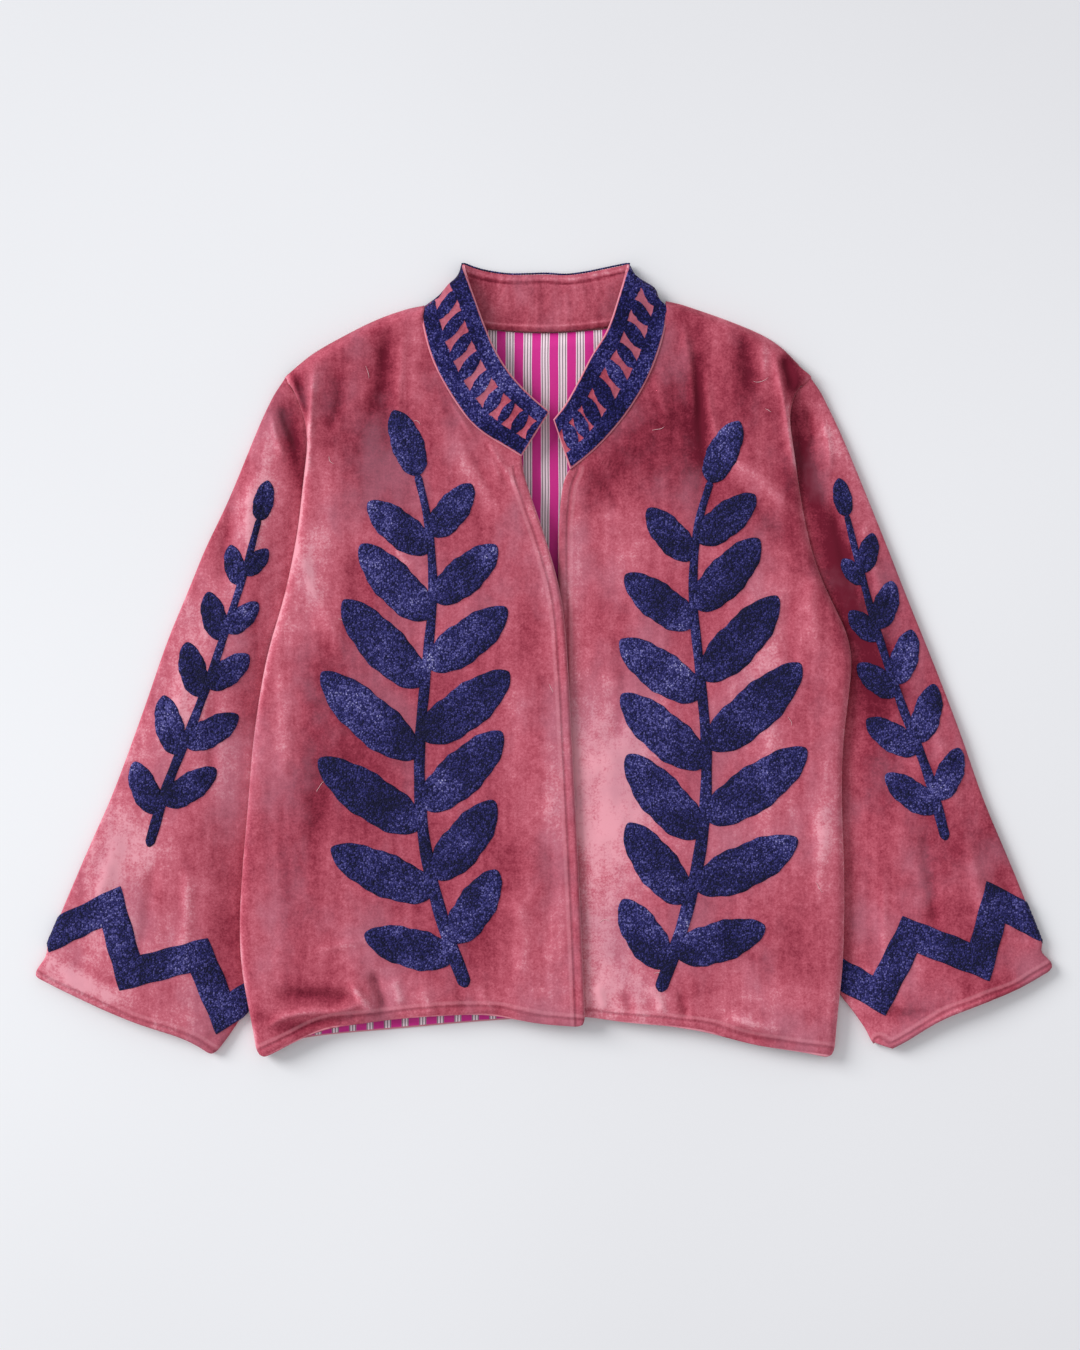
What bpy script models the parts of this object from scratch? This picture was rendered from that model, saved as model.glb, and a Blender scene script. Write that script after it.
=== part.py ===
# A velvet jacket with a band collar, laid flat and face up, its fronts open and lapped at the hem.
# X runs across the jacket, Y from hem to collar, Z up from the surface that it lies on.
# Right and left are the wearer's, so the right front and the right sleeve are on the -X side.
# Sizes are in millimetres up to new_cloth, which turns them into metres.

from collections import namedtuple
from math import cos, pi, sin

import bmesh
import bpy
import numpy as np

MM = 0.001

# Cloth thicknesses
WALL = 1.5
LINING_WALL = 1.0
COLLAR_WALL = 3.0

# Heights of the middle of each layer
FLOOR_LAYER = WALL / 2
LINING_LAYER = 2.3
BODY_LOFT = 15.5
SIDE_SEAM_HEIGHT = 2.7
SHOULDER_SEAM_HEIGHT = 3.0

# Gaps and insets at the seams
BACK_INSET = 6.5
LINING_INSET = 12.5
SLEEVE_TUCK = 0.2
ARMHOLE_TUCK = 2.8

# Rounding of the edges
SIDE_ROUND = 9.0
SHOULDER_ROUND = 13.0
HEM_ROUND = 12.0
HEM_DROP = 2.0
ARMHOLE_CURL = 0.52 * pi
SIDE_CURL = pi

# The seam end of the shoulder lies higher at the roll than at the side, over this range of Y
SHOULDER_POINT_LIFT = 8.5
SHOULDER_POINT_LOW_Y = 240.0
SHOULDER_POINT_HIGH_Y = 263.0

# The sleeve's shape: heights of its upper layer, and the rise between its edges
ARMHOLE_TOP_Y = 238.0
ARMPIT_Y = 4.0
SLEEVE_ROUND = 2.0
SLEEVE_TOP_AT_OUTER_EDGE = 7.5
SLEEVE_TOP_AT_INNER_EDGE = 3.0
SLEEVE_TOP_AT_ARMHOLE = 6.8
SLEEVE_TOP_AT_SHOULDER = 5.2
SLEEVE_CROWN = 5.0
SHOULDER_CROWN = 0.5

# How far the right front stands up at its edge, and how far the left front lies below it
LAP_RISE = 2.6
LAP_DROP = 4.0
LAP_WIDTH = 55.0

# Fineness of the sheets
FRONT_COLUMNS = 13
FRONT_NECK_COLUMNS = 6
CURL_COLUMNS = 5
FRONT_ROWS = 24
SLEEVE_RINGS = 24
SLEEVE_TOP_COLUMNS = 11
SLEEVE_UNDER_COLUMNS = 6
SLEEVE_EDGE_COLUMNS = 3
COLLAR_COLUMNS = 50
COLLAR_ROWS = 4
BACK_COLUMNS = 18
BACK_ROWS = 20
LINING_COLUMNS = 12
LINING_ROWS = 12

Point = namedtuple("Point", "x y")
SideRow = namedtuple("SideRow", "y right left")
Fold = namedtuple("Fold", "x0 y0 x1 y1 width height")
CollarRow = namedtuple("CollarRow", "base_x base_y base_z rim_x rim_y rim_z")
Finish = namedtuple("Finish", "color roughness sheen")

# Half widths of the body from hem to shoulder point, armholes from ARMPIT_Y up
BODY_SIDES = [
    SideRow(-357, 259, 262),
    SideRow(-310, 267, 266),
    SideRow(-289, 272, 269),
    SideRow(-243, 275, 271),
    SideRow(-185, 272, 271),
    SideRow(-129, 267, 269),
    SideRow(-77, 263, 270),
    SideRow(-22, 255, 276),
    SideRow(14, 247, 277),
    SideRow(53, 235, 259),
    SideRow(80, 229, 247),
    SideRow(115, 222, 237),
    SideRow(161, 217, 229),
    SideRow(204, 212, 223),
    SideRow(232, 221, 221),
    SideRow(255, 233, 240),
]

# Outlines of each front: the hem from the front edge out, the front edge from the hem up,
# and the neck from the front edge up
HEM = {
    "right": [
        Point(37, -330), Point(-6, -327), Point(-42, -320), Point(-70, -319), Point(-123, -322),
        Point(-164, -327), Point(-198, -332), Point(-229, -346), Point(-253, -357),
    ],
    "left": [
        Point(16, -321), Point(39, -321), Point(71, -326), Point(109, -329), Point(147, -335),
        Point(184, -345), Point(213, -350), Point(256, -356),
    ],
}
FRONT_EDGE = {
    "right": [
        Point(37, -330), Point(34, -252), Point(30, -167), Point(25, -72), Point(22, -14),
        Point(16, 54), Point(2, 107), Point(-9, 139), Point(-18, 166), Point(-20, 184),
    ],
    "left": [
        Point(16, -321), Point(14, -150), Point(13, 0), Point(13, 109), Point(14, 134), Point(17, 158),
        Point(23, 172),
    ],
}
NECK = {
    "right": [
        Point(-20, 184), Point(-37, 194), Point(-52, 203), Point(-66, 215), Point(-80, 234),
        Point(-94, 258), Point(-102, 278), Point(-108, 301), Point(-111, 320),
    ],
    "left": [
        Point(23, 172), Point(42, 187), Point(59, 204), Point(77, 227), Point(94, 257),
        Point(108, 295), Point(113, 324),
    ],
}
SHOULDER = {
    "right": [Point(-111, 320), Point(-148, 308), Point(-184, 290), Point(-212, 274), Point(-223, 264)],
    "left": [Point(113, 324), Point(140, 315), Point(176, 302), Point(208, 287), Point(230, 267)],
}

# The back from the right side to the left
BACK_HEM = [
    Point(-256, -350), Point(-211, -340), Point(-134, -333), Point(-42, -325), Point(37, -322),
    Point(109, -324), Point(184, -338), Point(258, -349),
]
BACK_NECK = [
    Point(-111, 319), Point(-99, 310), Point(-80, 304), Point(-51, 299), Point(2, 296), Point(55, 300),
    Point(86, 306), Point(104, 314), Point(113, 323),
]
LINING_HEM = [
    Point(-247, -344), Point(-211, -338.5), Point(-134, -331.5), Point(-42, -323.5), Point(37, -320),
    Point(109, -322), Point(184, -336), Point(249, -344),
]
LINING_TOP = [
    Point(-208, 236), Point(-150, 290), Point(-108, 300), Point(-80, 302), Point(-51, 297.3),
    Point(2, 294.3), Point(55, 298.3), Point(86, 302), Point(108, 302), Point(150, 294),
    Point(212, 244),
]

# Each sleeve: the outer edge from shoulder to cuff, the cuff from the outer edge in,
# and the bare end of the inner edge
SLEEVE_OUTER = {
    "right": [
        Point(-236, 252), Point(-252, 222), Point(-284, 144), Point(-305, 101), Point(-320, 63),
        Point(-339, 18), Point(-361, -46), Point(-389, -122), Point(-410, -169), Point(-442, -244),
        Point(-460, -285),
    ],
    "left": [
        Point(243, 254), Point(264, 212), Point(285, 162), Point(310, 100), Point(328, 54), Point(355, -13),
        Point(377, -71), Point(396, -126), Point(423, -190), Point(447, -250), Point(460, -278),
    ],
}
CUFF = {
    "right": [Point(-460, -285), Point(-427, -301), Point(-373, -325), Point(-323, -342), Point(-299, -357)],
    "left": [
        Point(460, -278), Point(428, -296), Point(394, -310), Point(356, -325), Point(316, -350),
        Point(302, -345),
    ],
}
SLEEVE_INNER_END = {
    "right": [Point(-276, -326), Point(-299, -357)],
    "left": [Point(278, -312), Point(291, -335), Point(302, -345)],
}
SLEEVE_LEAVES_SIDE_Y = -290.0

# Sections of the collar from its right end round the neck to its left end.
# It is pressed flat, so it doubles back at each side of the neck.
COLLAR = [
    CollarRow(-19.0, 185.0, 15.5, 5.0, 223.0, 17.0),
    CollarRow(-36.0, 195.3, 15.5, -9.4, 235.0, 18.0),
    CollarRow(-51.0, 204.2, 15.5, -21.0, 246.4, 18.5),
    CollarRow(-65.0, 216.0, 15.5, -32.2, 259.7, 18.5),
    CollarRow(-78.8, 234.8, 15.5, -43.7, 278.3, 18.5),
    CollarRow(-92.7, 258.6, 15.5, -53.8, 301.9, 18.0),
    CollarRow(-100.2, 278.5, 15.3, -60.6, 320.8, 17.5),
    CollarRow(-105.6, 300.0, 14.4, -68.0, 341.5, 15.8),
    CollarRow(-107.6, 311.0, 12.4, -71.3, 350.5, 13.4),
    CollarRow(-109.6, 317.8, 9.2, -73.5, 356.5, 9.2),
    CollarRow(-106.0, 317.2, 5.0, -70.6, 356.2, 4.6),
    CollarRow(-96.5, 311.6, 4.1, -62.0, 353.0, 3.0),
    CollarRow(-80.0, 305.4, 3.7, -50.0, 350.0, 2.6),
    CollarRow(-51.0, 300.0, 3.7, -32.0, 347.5, 2.6),
    CollarRow(-24.0, 297.8, 3.7, -14.0, 347.5, 3.4),
    CollarRow(2.0, 297.0, 3.7, 2.0, 348.0, 2.6),
    CollarRow(28.0, 298.4, 3.7, 20.0, 347.0, 3.0),
    CollarRow(55.0, 301.4, 3.7, 37.0, 349.0, 3.2),
    CollarRow(85.0, 307.4, 3.7, 54.0, 352.5, 2.6),
    CollarRow(99.4, 314.4, 4.1, 66.0, 355.0, 3.0),
    CollarRow(108.4, 320.6, 5.0, 73.4, 356.5, 4.6),
    CollarRow(110.0, 320.6, 9.2, 76.6, 356.5, 9.2),
    CollarRow(107.8, 312.0, 12.8, 74.0, 350.0, 14.0),
    CollarRow(104.6, 294.0, 15.0, 68.0, 330.0, 17.0),
    CollarRow(92.8, 257.6, 15.5, 57.0, 297.0, 18.0),
    CollarRow(75.8, 228.0, 15.5, 43.0, 274.0, 18.5),
    CollarRow(58.0, 205.4, 15.5, 30.0, 249.0, 18.5),
    CollarRow(41.2, 188.4, 15.5, 19.0, 229.5, 18.0),
    CollarRow(22.6, 173.4, 15.5, 8.4, 216.0, 17.0),
]

# Soft ridges (height above 0) and troughs (below 0) of the laid cloth
BODY_FOLDS = [
    Fold(-207, 262, -205, 190, 14, 2.4),
    Fold(-152, 262, -139, 162, 18, -2.2),
    Fold(-184, 216, -193, 120, 24, 1.5),
    Fold(-193, -36, -202, -216, 60, 2.0),
    Fold(-90, -150, -100, -250, 40, -1.5),
    Fold(-170, -286, -163, -322, 10, 3.2),
    Fold(-153, -280, -148, -324, 8, -3.6),
    Fold(-45, -298, -54, -322, 8, -2.6),
    Fold(-247, -304, -178, -310, 16, 2.4),
    Fold(133, 306, 145, 150, 14, -2.8),
    Fold(165, 300, 178, 140, 20, 1.8),
    Fold(140, 96, 154, 0, 14, -2.2),
    Fold(246, 40, 250, -30, 34, 2.2),
    Fold(140, -200, 170, -300, 18, -1.6),
    Fold(176, -290, 262, -300, 9, -2.2),
    Fold(167, -270, 262, -282, 11, 1.6),
    Fold(90, -60, 110, -180, 40, 1.6),
]
SLEEVE_FOLDS = [
    Fold(-278, 198, -290, 100, 13, -1.6),
    Fold(-262, 180, -262, 90, 15, 1.2),
    Fold(-306, -140, -300, -260, 16, 1.4),
    Fold(-288, -160, -284, -280, 11, -1.6),
    Fold(-430, -230, -330, -290, 20, -1.2),
    Fold(300, 110, 292, 20, 14, -1.4),
    Fold(343, -150, 352, -250, 12, -0.8),
    Fold(372, -150, 384, -250, 18, 1.4),
    Fold(300, -325, 345, -318, 8, -0.8),
]

FINISHES = {
    "velvet": Finish((0.45, 0.10, 0.13), 0.85, 0.6),
    "velvet_with_stitched_band": Finish((0.30, 0.07, 0.14), 0.85, 0.5),
    "striped_lining": Finish((0.62, 0.10, 0.30), 0.7, 0.1),
}


def smoothstep(low, high, value):
    share = np.clip((value - low) / (high - low), 0.0, 1.0)
    return share * share * (3 - 2 * share)


def curve_through(points, shares):
    """Points at these shares of the length of a smooth curve through the given points."""
    p = np.array(points, float)
    ends = np.vstack([2 * p[0] - p[1], p, 2 * p[-1] - p[-2]])
    steps = np.linspace(0, 1, 10, endpoint=False)[:, None]
    spans = []
    for a, b, c, d in zip(ends, ends[1:], ends[2:], ends[3:]):
        spans.append(
            b
            + 0.5 * (c - a) * steps
            + (a - 2.5 * b + 2 * c - 0.5 * d) * steps**2
            + (1.5 * (b - c) + 0.5 * (d - a)) * steps**3
        )
    fine = np.vstack(spans + [p[-1:]])
    run = np.concatenate([[0], np.cumsum(np.linalg.norm(np.diff(fine, axis=0), axis=1))])
    wanted = np.asarray(shares) * run[-1]
    return np.column_stack([np.interp(wanted, run, fine[:, k]) for k in range(fine.shape[1])])


def patch_between(bottom, top, start, end, rows):
    """Plan points [row, column] filling four boundary curves; the side curves sit at the rows' shares.
    What the side curves add fades fast, so that the middle follows the bottom and the top."""
    v = np.asarray(rows)[:, None, None]
    u = np.linspace(0, 1, len(bottom))[None, :, None]
    flat_start = (1 - v[:, 0]) * bottom[0] + v[:, 0] * top[0]
    flat_end = (1 - v[:, 0]) * bottom[-1] + v[:, 0] * top[-1]
    sides = (start - flat_start)[:, None] * (1 - u) ** 3 + (end - flat_end)[:, None] * u**3
    return (1 - v) * bottom[None] + v * top[None] + sides


def fold_height(x, y, folds):
    """Sum of the ridges and troughs at plan points, each fading away from its line and past its ends."""
    total = np.zeros_like(x)
    for f in folds:
        run_x, run_y = f.x1 - f.x0, f.y1 - f.y0
        length = np.hypot(run_x, run_y)
        along = np.clip(((x - f.x0) * run_x + (y - f.y0) * run_y) / length**2, 0, 1)
        away = np.hypot(x - f.x0 - along * run_x, y - f.y0 - along * run_y)
        total += f.height * np.exp(-((away / f.width) ** 2))
    return total


SIGN = {"right": -1, "left": 1}


def side_line(side, inset=0.0):
    """The body's outline on one side as (x, y) points from hem to shoulder point, moved in by inset."""
    return [(SIGN[side] * (getattr(row, side) - inset), row.y) for row in BODY_SIDES]


def side_x(side, y, inset=0.0):
    fine = curve_through(side_line(side, inset), np.linspace(0, 1, 200))
    return np.interp(y, fine[:, 1], fine[:, 0])


def distance_below(line, x, y):
    """How far plan points lie below an open line, measured square to it."""
    line = np.array(sorted(line), float)
    slope = np.gradient(line[:, 1], line[:, 0])
    drop = np.interp(x, line[:, 0], line[:, 1]) - y
    return np.maximum(drop / np.hypot(1, np.interp(x, line[:, 0], slope)), 0)


def front_points(side):
    """A front panel from its front edge out to the side seam, with the side rolled under."""
    rows = np.concatenate([[0, 0.008, 0.022], np.linspace(0.05, 0.965, FRONT_ROWS), [0.982, 0.992, 1]])
    columns = np.linspace(0, 1, FRONT_COLUMNS + 1)
    roll_line = side_line(side, WALL / 2 + SIDE_ROUND)
    roll_line[-1] = (roll_line[-1][0], roll_line[-1][1] + SHOULDER_POINT_LIFT)
    neck_shares = np.linspace(0, 1, FRONT_NECK_COLUMNS + 1)
    shoulder_shares = np.linspace(0, 1, FRONT_COLUMNS - FRONT_NECK_COLUMNS + 1)[1:]
    top = np.vstack([curve_through(NECK[side], neck_shares), curve_through(SHOULDER[side], shoulder_shares)])
    bottom = curve_through(HEM[side], columns)
    start = curve_through(FRONT_EDGE[side], rows)
    end = curve_through(roll_line, rows)
    start[0], start[-1] = bottom[0], top[0]
    bottom[-1], top[-1] = end[0], end[-1]
    plan = patch_between(bottom, top, start, end, rows)
    x, y = plan[..., 0], plan[..., 1]

    height = BODY_LOFT + fold_height(x, y, BODY_FOLDS)
    from_edge = np.abs(x - start[:, 0][:, None])
    near_edge = np.exp(-((from_edge / LAP_WIDTH) ** 2))
    if side == "right":
        height += LAP_RISE * near_edge * smoothstep(175, 110, y)
    else:
        height -= LAP_DROP * near_edge * smoothstep(168, 100, y)
    above_hem = (rows * np.ptp(start[:, 1]))[:, None]
    height -= 2 * HEM_DROP * (1 - smoothstep(-HEM_ROUND, HEM_ROUND, above_hem))
    inside = np.clip(distance_below(SHOULDER[side], x, y) / SHOULDER_ROUND, 0, 1)
    fall = np.sqrt(1 - (1 - inside) ** 2)
    height = SHOULDER_SEAM_HEIGHT + (height - SHOULDER_SEAM_HEIGHT) * fall

    curl = ARMHOLE_CURL + (SIDE_CURL - ARMHOLE_CURL) * smoothstep(ARMPIT_Y - 6, ARMPIT_Y - 44, end[:, 1])
    curl *= 1 - 0.1 * smoothstep(215, 250, end[:, 1])
    half_height = np.maximum(height[:, -1] - SIDE_SEAM_HEIGHT, 0.2) / 2
    sheets = [np.dstack([x, y, height])]
    for step in range(1, CURL_COLUMNS + 1):
        angle = curl * step / CURL_COLUMNS
        out = end[:, 0] + SIGN[side] * SIDE_ROUND * np.sin(angle)
        down = height[:, -1] - half_height * (1 - np.cos(angle))
        lift = SHOULDER_POINT_LIFT * smoothstep(SHOULDER_POINT_LOW_Y, SHOULDER_POINT_HIGH_Y, end[:, 1])
        along = end[:, 1] - lift * np.sin(angle)
        sheets.append(np.dstack([out, along, down]).transpose(1, 0, 2))
    return np.concatenate(sheets, axis=1)


def flat_points(hem, top, inset, height, columns, rows):
    """A flat panel between a hem and a top edge, with the body's sides moved in by inset."""
    v = np.linspace(0, 1, rows + 1)
    u = np.linspace(0, 1, columns + 1)
    bottom, upper = curve_through(hem, u), top(u)
    start = curve_through(side_line("right", inset), v)
    end = curve_through(side_line("left", inset), v)
    start[0], end[0], start[-1], end[-1] = bottom[0], bottom[-1], upper[0], upper[-1]
    plan = patch_between(bottom, upper, start, end, v)
    return np.dstack([plan, np.full(plan.shape[:2], height)])


def back_top(u):
    """The back's top edge from right shoulder point over the neck to left shoulder point."""
    third = len(u) // 3
    right = curve_through(SHOULDER["right"][::-1], np.linspace(0, 1, third + 1))[:-1]
    neck = curve_through(BACK_NECK, np.linspace(0, 1, len(u) - 2 * third))
    left = curve_through(SHOULDER["left"], np.linspace(0, 1, third + 1))[1:]
    return np.vstack([right, neck, left])


def outward_normals(line, other):
    """Unit normals in plan along one edge of a strip, pointing away from its other edge."""
    run = np.gradient(line, axis=0)
    normal = np.column_stack([-run[:, 1], run[:, 0]]) / np.linalg.norm(run, axis=1)[:, None]
    return normal * np.where(np.sum(normal * (line - other), axis=1) < 0, -1, 1)[:, None]


def sleeve_points(side):
    """Rings of a flattened sleeve from shoulder to cuff: over the top, round the inner edge, back beneath.
    Also the cells left open for the armhole."""
    t = np.linspace(0, 1, SLEEVE_RINGS + 1)
    outer = curve_through(SLEEVE_OUTER[side], t)
    beside_y = np.linspace(ARMHOLE_TOP_Y, SLEEVE_LEAVES_SIDE_Y, 16)
    in_armhole = smoothstep(ARMPIT_Y, ARMPIT_Y + 30, beside_y)
    tuck = WALL / 2 + SLEEVE_TUCK + (ARMHOLE_TUCK - SLEEVE_TUCK) * in_armhole
    beside_body = [(side_x(side, y, inset), y) for y, inset in zip(beside_y, tuck)]
    inner = curve_through(beside_body + SLEEVE_INNER_END[side], t)
    away_outer = outward_normals(outer, inner)
    away_inner = outward_normals(inner, outer)
    outer = outer - away_outer * SLEEVE_ROUND
    inner[-2:] -= away_inner[-2:] * SLEEVE_ROUND
    cuff = [outer[-1]] + CUFF[side][1:-1] + [inner[-1]]

    def plan(columns):
        across = np.linspace(0, 1, columns + 1)
        shoulder = curve_through([outer[0], inner[0]], across)
        return patch_between(shoulder, curve_through(cuff, across), outer, inner, t)

    over = plan(SLEEVE_TOP_COLUMNS)
    under = plan(SLEEVE_UNDER_COLUMNS)[:, ::-1]
    across = np.linspace(0, 1, SLEEVE_TOP_COLUMNS + 1)[None]
    at_armhole = smoothstep(ARMPIT_Y, ARMPIT_Y + 30, inner[:, 1])[:, None]
    at_shoulder = 1 - smoothstep(0, 0.12, t)[:, None]
    at_cuff = smoothstep(0.86, 1.0, t)[:, None]
    outer_top = SLEEVE_TOP_AT_OUTER_EDGE + (SLEEVE_TOP_AT_SHOULDER - SLEEVE_TOP_AT_OUTER_EDGE) * at_shoulder
    inner_top = SLEEVE_TOP_AT_INNER_EDGE + (SLEEVE_TOP_AT_ARMHOLE - SLEEVE_TOP_AT_INNER_EDGE) * at_armhole
    inner_top = inner_top + (SLEEVE_TOP_AT_SHOULDER - SLEEVE_TOP_AT_ARMHOLE) * at_shoulder
    inner_top = inner_top + (SLEEVE_TOP_AT_OUTER_EDGE - SLEEVE_TOP_AT_INNER_EDGE) * at_cuff
    crown = SHOULDER_CROWN + (SLEEVE_CROWN - SHOULDER_CROWN) * smoothstep(0, 0.25, t)[:, None]
    folds = fold_height(over[..., 0], over[..., 1], SLEEVE_FOLDS)
    arch = np.sin(pi * across)
    height = outer_top + (inner_top - outer_top) * across + crown * arch + folds * np.sqrt(np.abs(arch))

    def edge_ring(edge, away, top, angles):
        level = (top - FLOOR_LAYER) / 2
        return [
            np.column_stack([edge + away * SLEEVE_ROUND * sin(a), FLOOR_LAYER + level * (1 + cos(a))])
            for a in angles
        ]

    angles = np.linspace(0, pi, SLEEVE_EDGE_COLUMNS + 2)[1:-1]
    columns = [np.column_stack([over[:, k], height[:, k]]) for k in range(over.shape[1])]
    columns += edge_ring(inner, away_inner, height[:, -1], angles)
    columns += [np.column_stack([under[:, k], np.full(len(t), FLOOR_LAYER)]) for k in range(under.shape[1])]
    columns += edge_ring(outer, away_outer, height[:, 0], angles[::-1])
    columns.append(columns[0])
    armhole = {
        (row, SLEEVE_TOP_COLUMNS + step)
        for row in range(SLEEVE_RINGS)
        for step in range(SLEEVE_EDGE_COLUMNS + 1)
        if inner[row + 1, 1] > ARMPIT_Y
    }
    return np.stack(columns, axis=1), armhole


def collar_points():
    """The band from its right end round the neck to its left end, seam edge first."""
    shares = np.linspace(0, 1, COLLAR_COLUMNS + 1)
    base = curve_through([row[:3] for row in COLLAR], shares)
    rim = curve_through([row[3:] for row in COLLAR], shares)
    up = np.linspace(0, 1, COLLAR_ROWS + 1)[:, None, None]
    return base[None] * (1 - up) + rim[None] * up


def new_finish(name):
    material = bpy.data.materials.new(name)
    material.use_nodes = True
    shader = material.node_tree.nodes["Principled BSDF"]
    finish = FINISHES[name]
    shader.inputs["Base Color"].default_value = (*finish.color, 1)
    shader.inputs["Roughness"].default_value = finish.roughness
    shader.inputs["Metallic"].default_value = 0
    shader.inputs["Sheen Weight"].default_value = finish.sheen
    material.diffuse_color = (*finish.color, 1)
    return material


def new_cloth(name, points, wall, finish, collection, open_cells=()):
    """A grid laid on the points [row, column], less its open cells, and given its wall by Solidify."""
    rows, columns = points.shape[0] - 1, points.shape[1] - 1
    grid = bmesh.new()
    bmesh.ops.create_grid(grid, x_segments=columns, y_segments=rows, size=0.5)
    cells = {}
    for face in grid.faces:
        middle = face.calc_center_median()
        cells[int((middle.y + 0.5) * rows), int((middle.x + 0.5) * columns)] = face
    for vertex in grid.verts:
        column = round((vertex.co.x + 0.5) * columns)
        row = round((vertex.co.y + 0.5) * rows)
        vertex.co = points[row, column] * MM
    bmesh.ops.delete(grid, geom=[cells[cell] for cell in open_cells], context="FACES")
    bmesh.ops.remove_doubles(grid, verts=grid.verts[:], dist=0.01 * MM)
    mesh = bpy.data.meshes.new(name)
    grid.to_mesh(mesh)
    grid.free()
    mesh.shade_smooth()
    mesh.materials.append(finish)
    cloth = bpy.data.objects.new(name, mesh)
    collection.objects.link(cloth)
    solidify = cloth.modifiers.new("wall", "SOLIDIFY")
    solidify.thickness = wall * MM
    solidify.offset = 0
    return cloth


def main():
    for thing in list(bpy.data.objects):
        bpy.data.objects.remove(thing)
    jacket = bpy.data.collections.new("velvet_jacket")
    bpy.context.scene.collection.children.link(jacket)
    velvet = new_finish("velvet")
    band = new_finish("velvet_with_stitched_band")
    stripes = new_finish("striped_lining")

    back = flat_points(BACK_HEM, back_top, BACK_INSET, FLOOR_LAYER, BACK_COLUMNS, BACK_ROWS)
    new_cloth("back", back, WALL, velvet, jacket)
    lining = flat_points(
        LINING_HEM,
        lambda u: curve_through(LINING_TOP, u),
        LINING_INSET,
        LINING_LAYER,
        LINING_COLUMNS,
        LINING_ROWS,
    )
    new_cloth("back_lining", lining, LINING_WALL, stripes, jacket)
    for side in SIGN:
        new_cloth(f"front_{side}", front_points(side), WALL, velvet, jacket)
        rings, armhole = sleeve_points(side)
        new_cloth(f"sleeve_{side}", rings, WALL, velvet, jacket, open_cells=armhole)
    new_cloth("collar", collar_points(), COLLAR_WALL, band, jacket)


main()
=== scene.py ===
import math

import bpy
import numpy as np
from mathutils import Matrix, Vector
from mathutils.bvhtree import BVHTree
from mathutils.kdtree import KDTree


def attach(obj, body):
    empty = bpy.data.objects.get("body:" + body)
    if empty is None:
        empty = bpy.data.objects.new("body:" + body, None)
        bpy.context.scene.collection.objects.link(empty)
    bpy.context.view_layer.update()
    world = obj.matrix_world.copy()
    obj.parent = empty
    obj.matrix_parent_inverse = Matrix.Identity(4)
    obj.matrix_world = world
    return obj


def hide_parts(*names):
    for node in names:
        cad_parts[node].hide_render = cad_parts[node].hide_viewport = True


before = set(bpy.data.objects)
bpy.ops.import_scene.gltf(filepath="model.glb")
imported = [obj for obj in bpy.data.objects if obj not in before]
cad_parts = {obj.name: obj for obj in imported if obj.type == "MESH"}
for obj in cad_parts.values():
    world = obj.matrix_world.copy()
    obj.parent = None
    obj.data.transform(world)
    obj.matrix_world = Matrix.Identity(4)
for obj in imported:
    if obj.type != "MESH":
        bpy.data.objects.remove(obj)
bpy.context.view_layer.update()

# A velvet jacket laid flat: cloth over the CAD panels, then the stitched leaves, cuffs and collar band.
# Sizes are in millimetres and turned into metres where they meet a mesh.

mm = 0.001


def clearSelection():
    bpy.ops.object.select_all(action="DESELECT")
    bpy.context.view_layer.objects.active = None


def chooseOnly(piece):
    clearSelection()
    piece.select_set(True)
    bpy.context.view_layer.objects.active = piece


def pointsOf(piece):
    flat = np.empty(len(piece.data.vertices) * 3, np.float32)
    piece.data.vertices.foreach_get("co", flat)
    return flat.reshape(-1, 3).astype(float) / mm


def normalsOf(piece):
    flat = np.empty(len(piece.data.vertices) * 3, np.float32)
    piece.data.vertices.foreach_get("normal", flat)
    return flat.reshape(-1, 3).astype(float)


def movePoints(piece, points):
    piece.data.vertices.foreach_set("co", (points * mm).astype(np.float32).ravel())
    piece.data.update()


def keepValue(piece, name, values):
    layer = piece.data.attributes.get(name) or piece.data.attributes.new(name, "FLOAT", "POINT")
    layer.data.foreach_set("value", np.asarray(values, np.float32))


def easeBetween(low, high, value):
    share = np.clip((value - low) / (high - low), 0, 1)
    return share * share * (3 - 2 * share)


def smoothPath(points, step=4.0):
    # a smooth curve through the given points, then evened out to the step
    p = np.array(points, float)
    ends = np.vstack([2 * p[0] - p[1], p, 2 * p[-1] - p[-2]])
    t = np.linspace(0, 1, 12, endpoint=False)[:, None]
    spans = [b + 0.5 * (c - a) * t + (a - 2.5 * b + 2 * c - 0.5 * d) * t**2
             + (1.5 * (b - c) + 0.5 * (d - a)) * t**3
             for a, b, c, d in zip(ends, ends[1:], ends[2:], ends[3:])]
    fine = np.vstack(spans + [p[-1:]])
    run = np.concatenate([[0], np.cumsum(np.linalg.norm(np.diff(fine[:, :2], axis=0), axis=1))])
    wanted = np.linspace(0, run[-1], max(3, int(run[-1] / step) + 1))
    return np.column_stack([np.interp(wanted, run, fine[:, k]) for k in range(p.shape[1])])


def rolling(x, y, size, seed):
    # soft unevenness that never repeats, from -1 to 1 or so
    total = np.zeros_like(x)
    for k, (turn, stretch) in enumerate(((0.3, 1.0), (1.4, 1.31), (2.2, 0.77), (2.9, 1.73), (0.9, 2.1))):
        way = turn + seed * 0.7 * (k + 1)
        total += np.sin((x * math.cos(way) + y * math.sin(way)) * 2 * math.pi * stretch / size
                        + seed * (k * 1.9 + 1)) / stretch
    return total / 3


def tone(red, green, blue):
    def linear(c):
        c /= 255
        return c / 12.92 if c <= 0.04045 else ((c + 0.055) / 1.055) ** 2.4
    return (linear(red), linear(green), linear(blue), 1)


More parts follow.
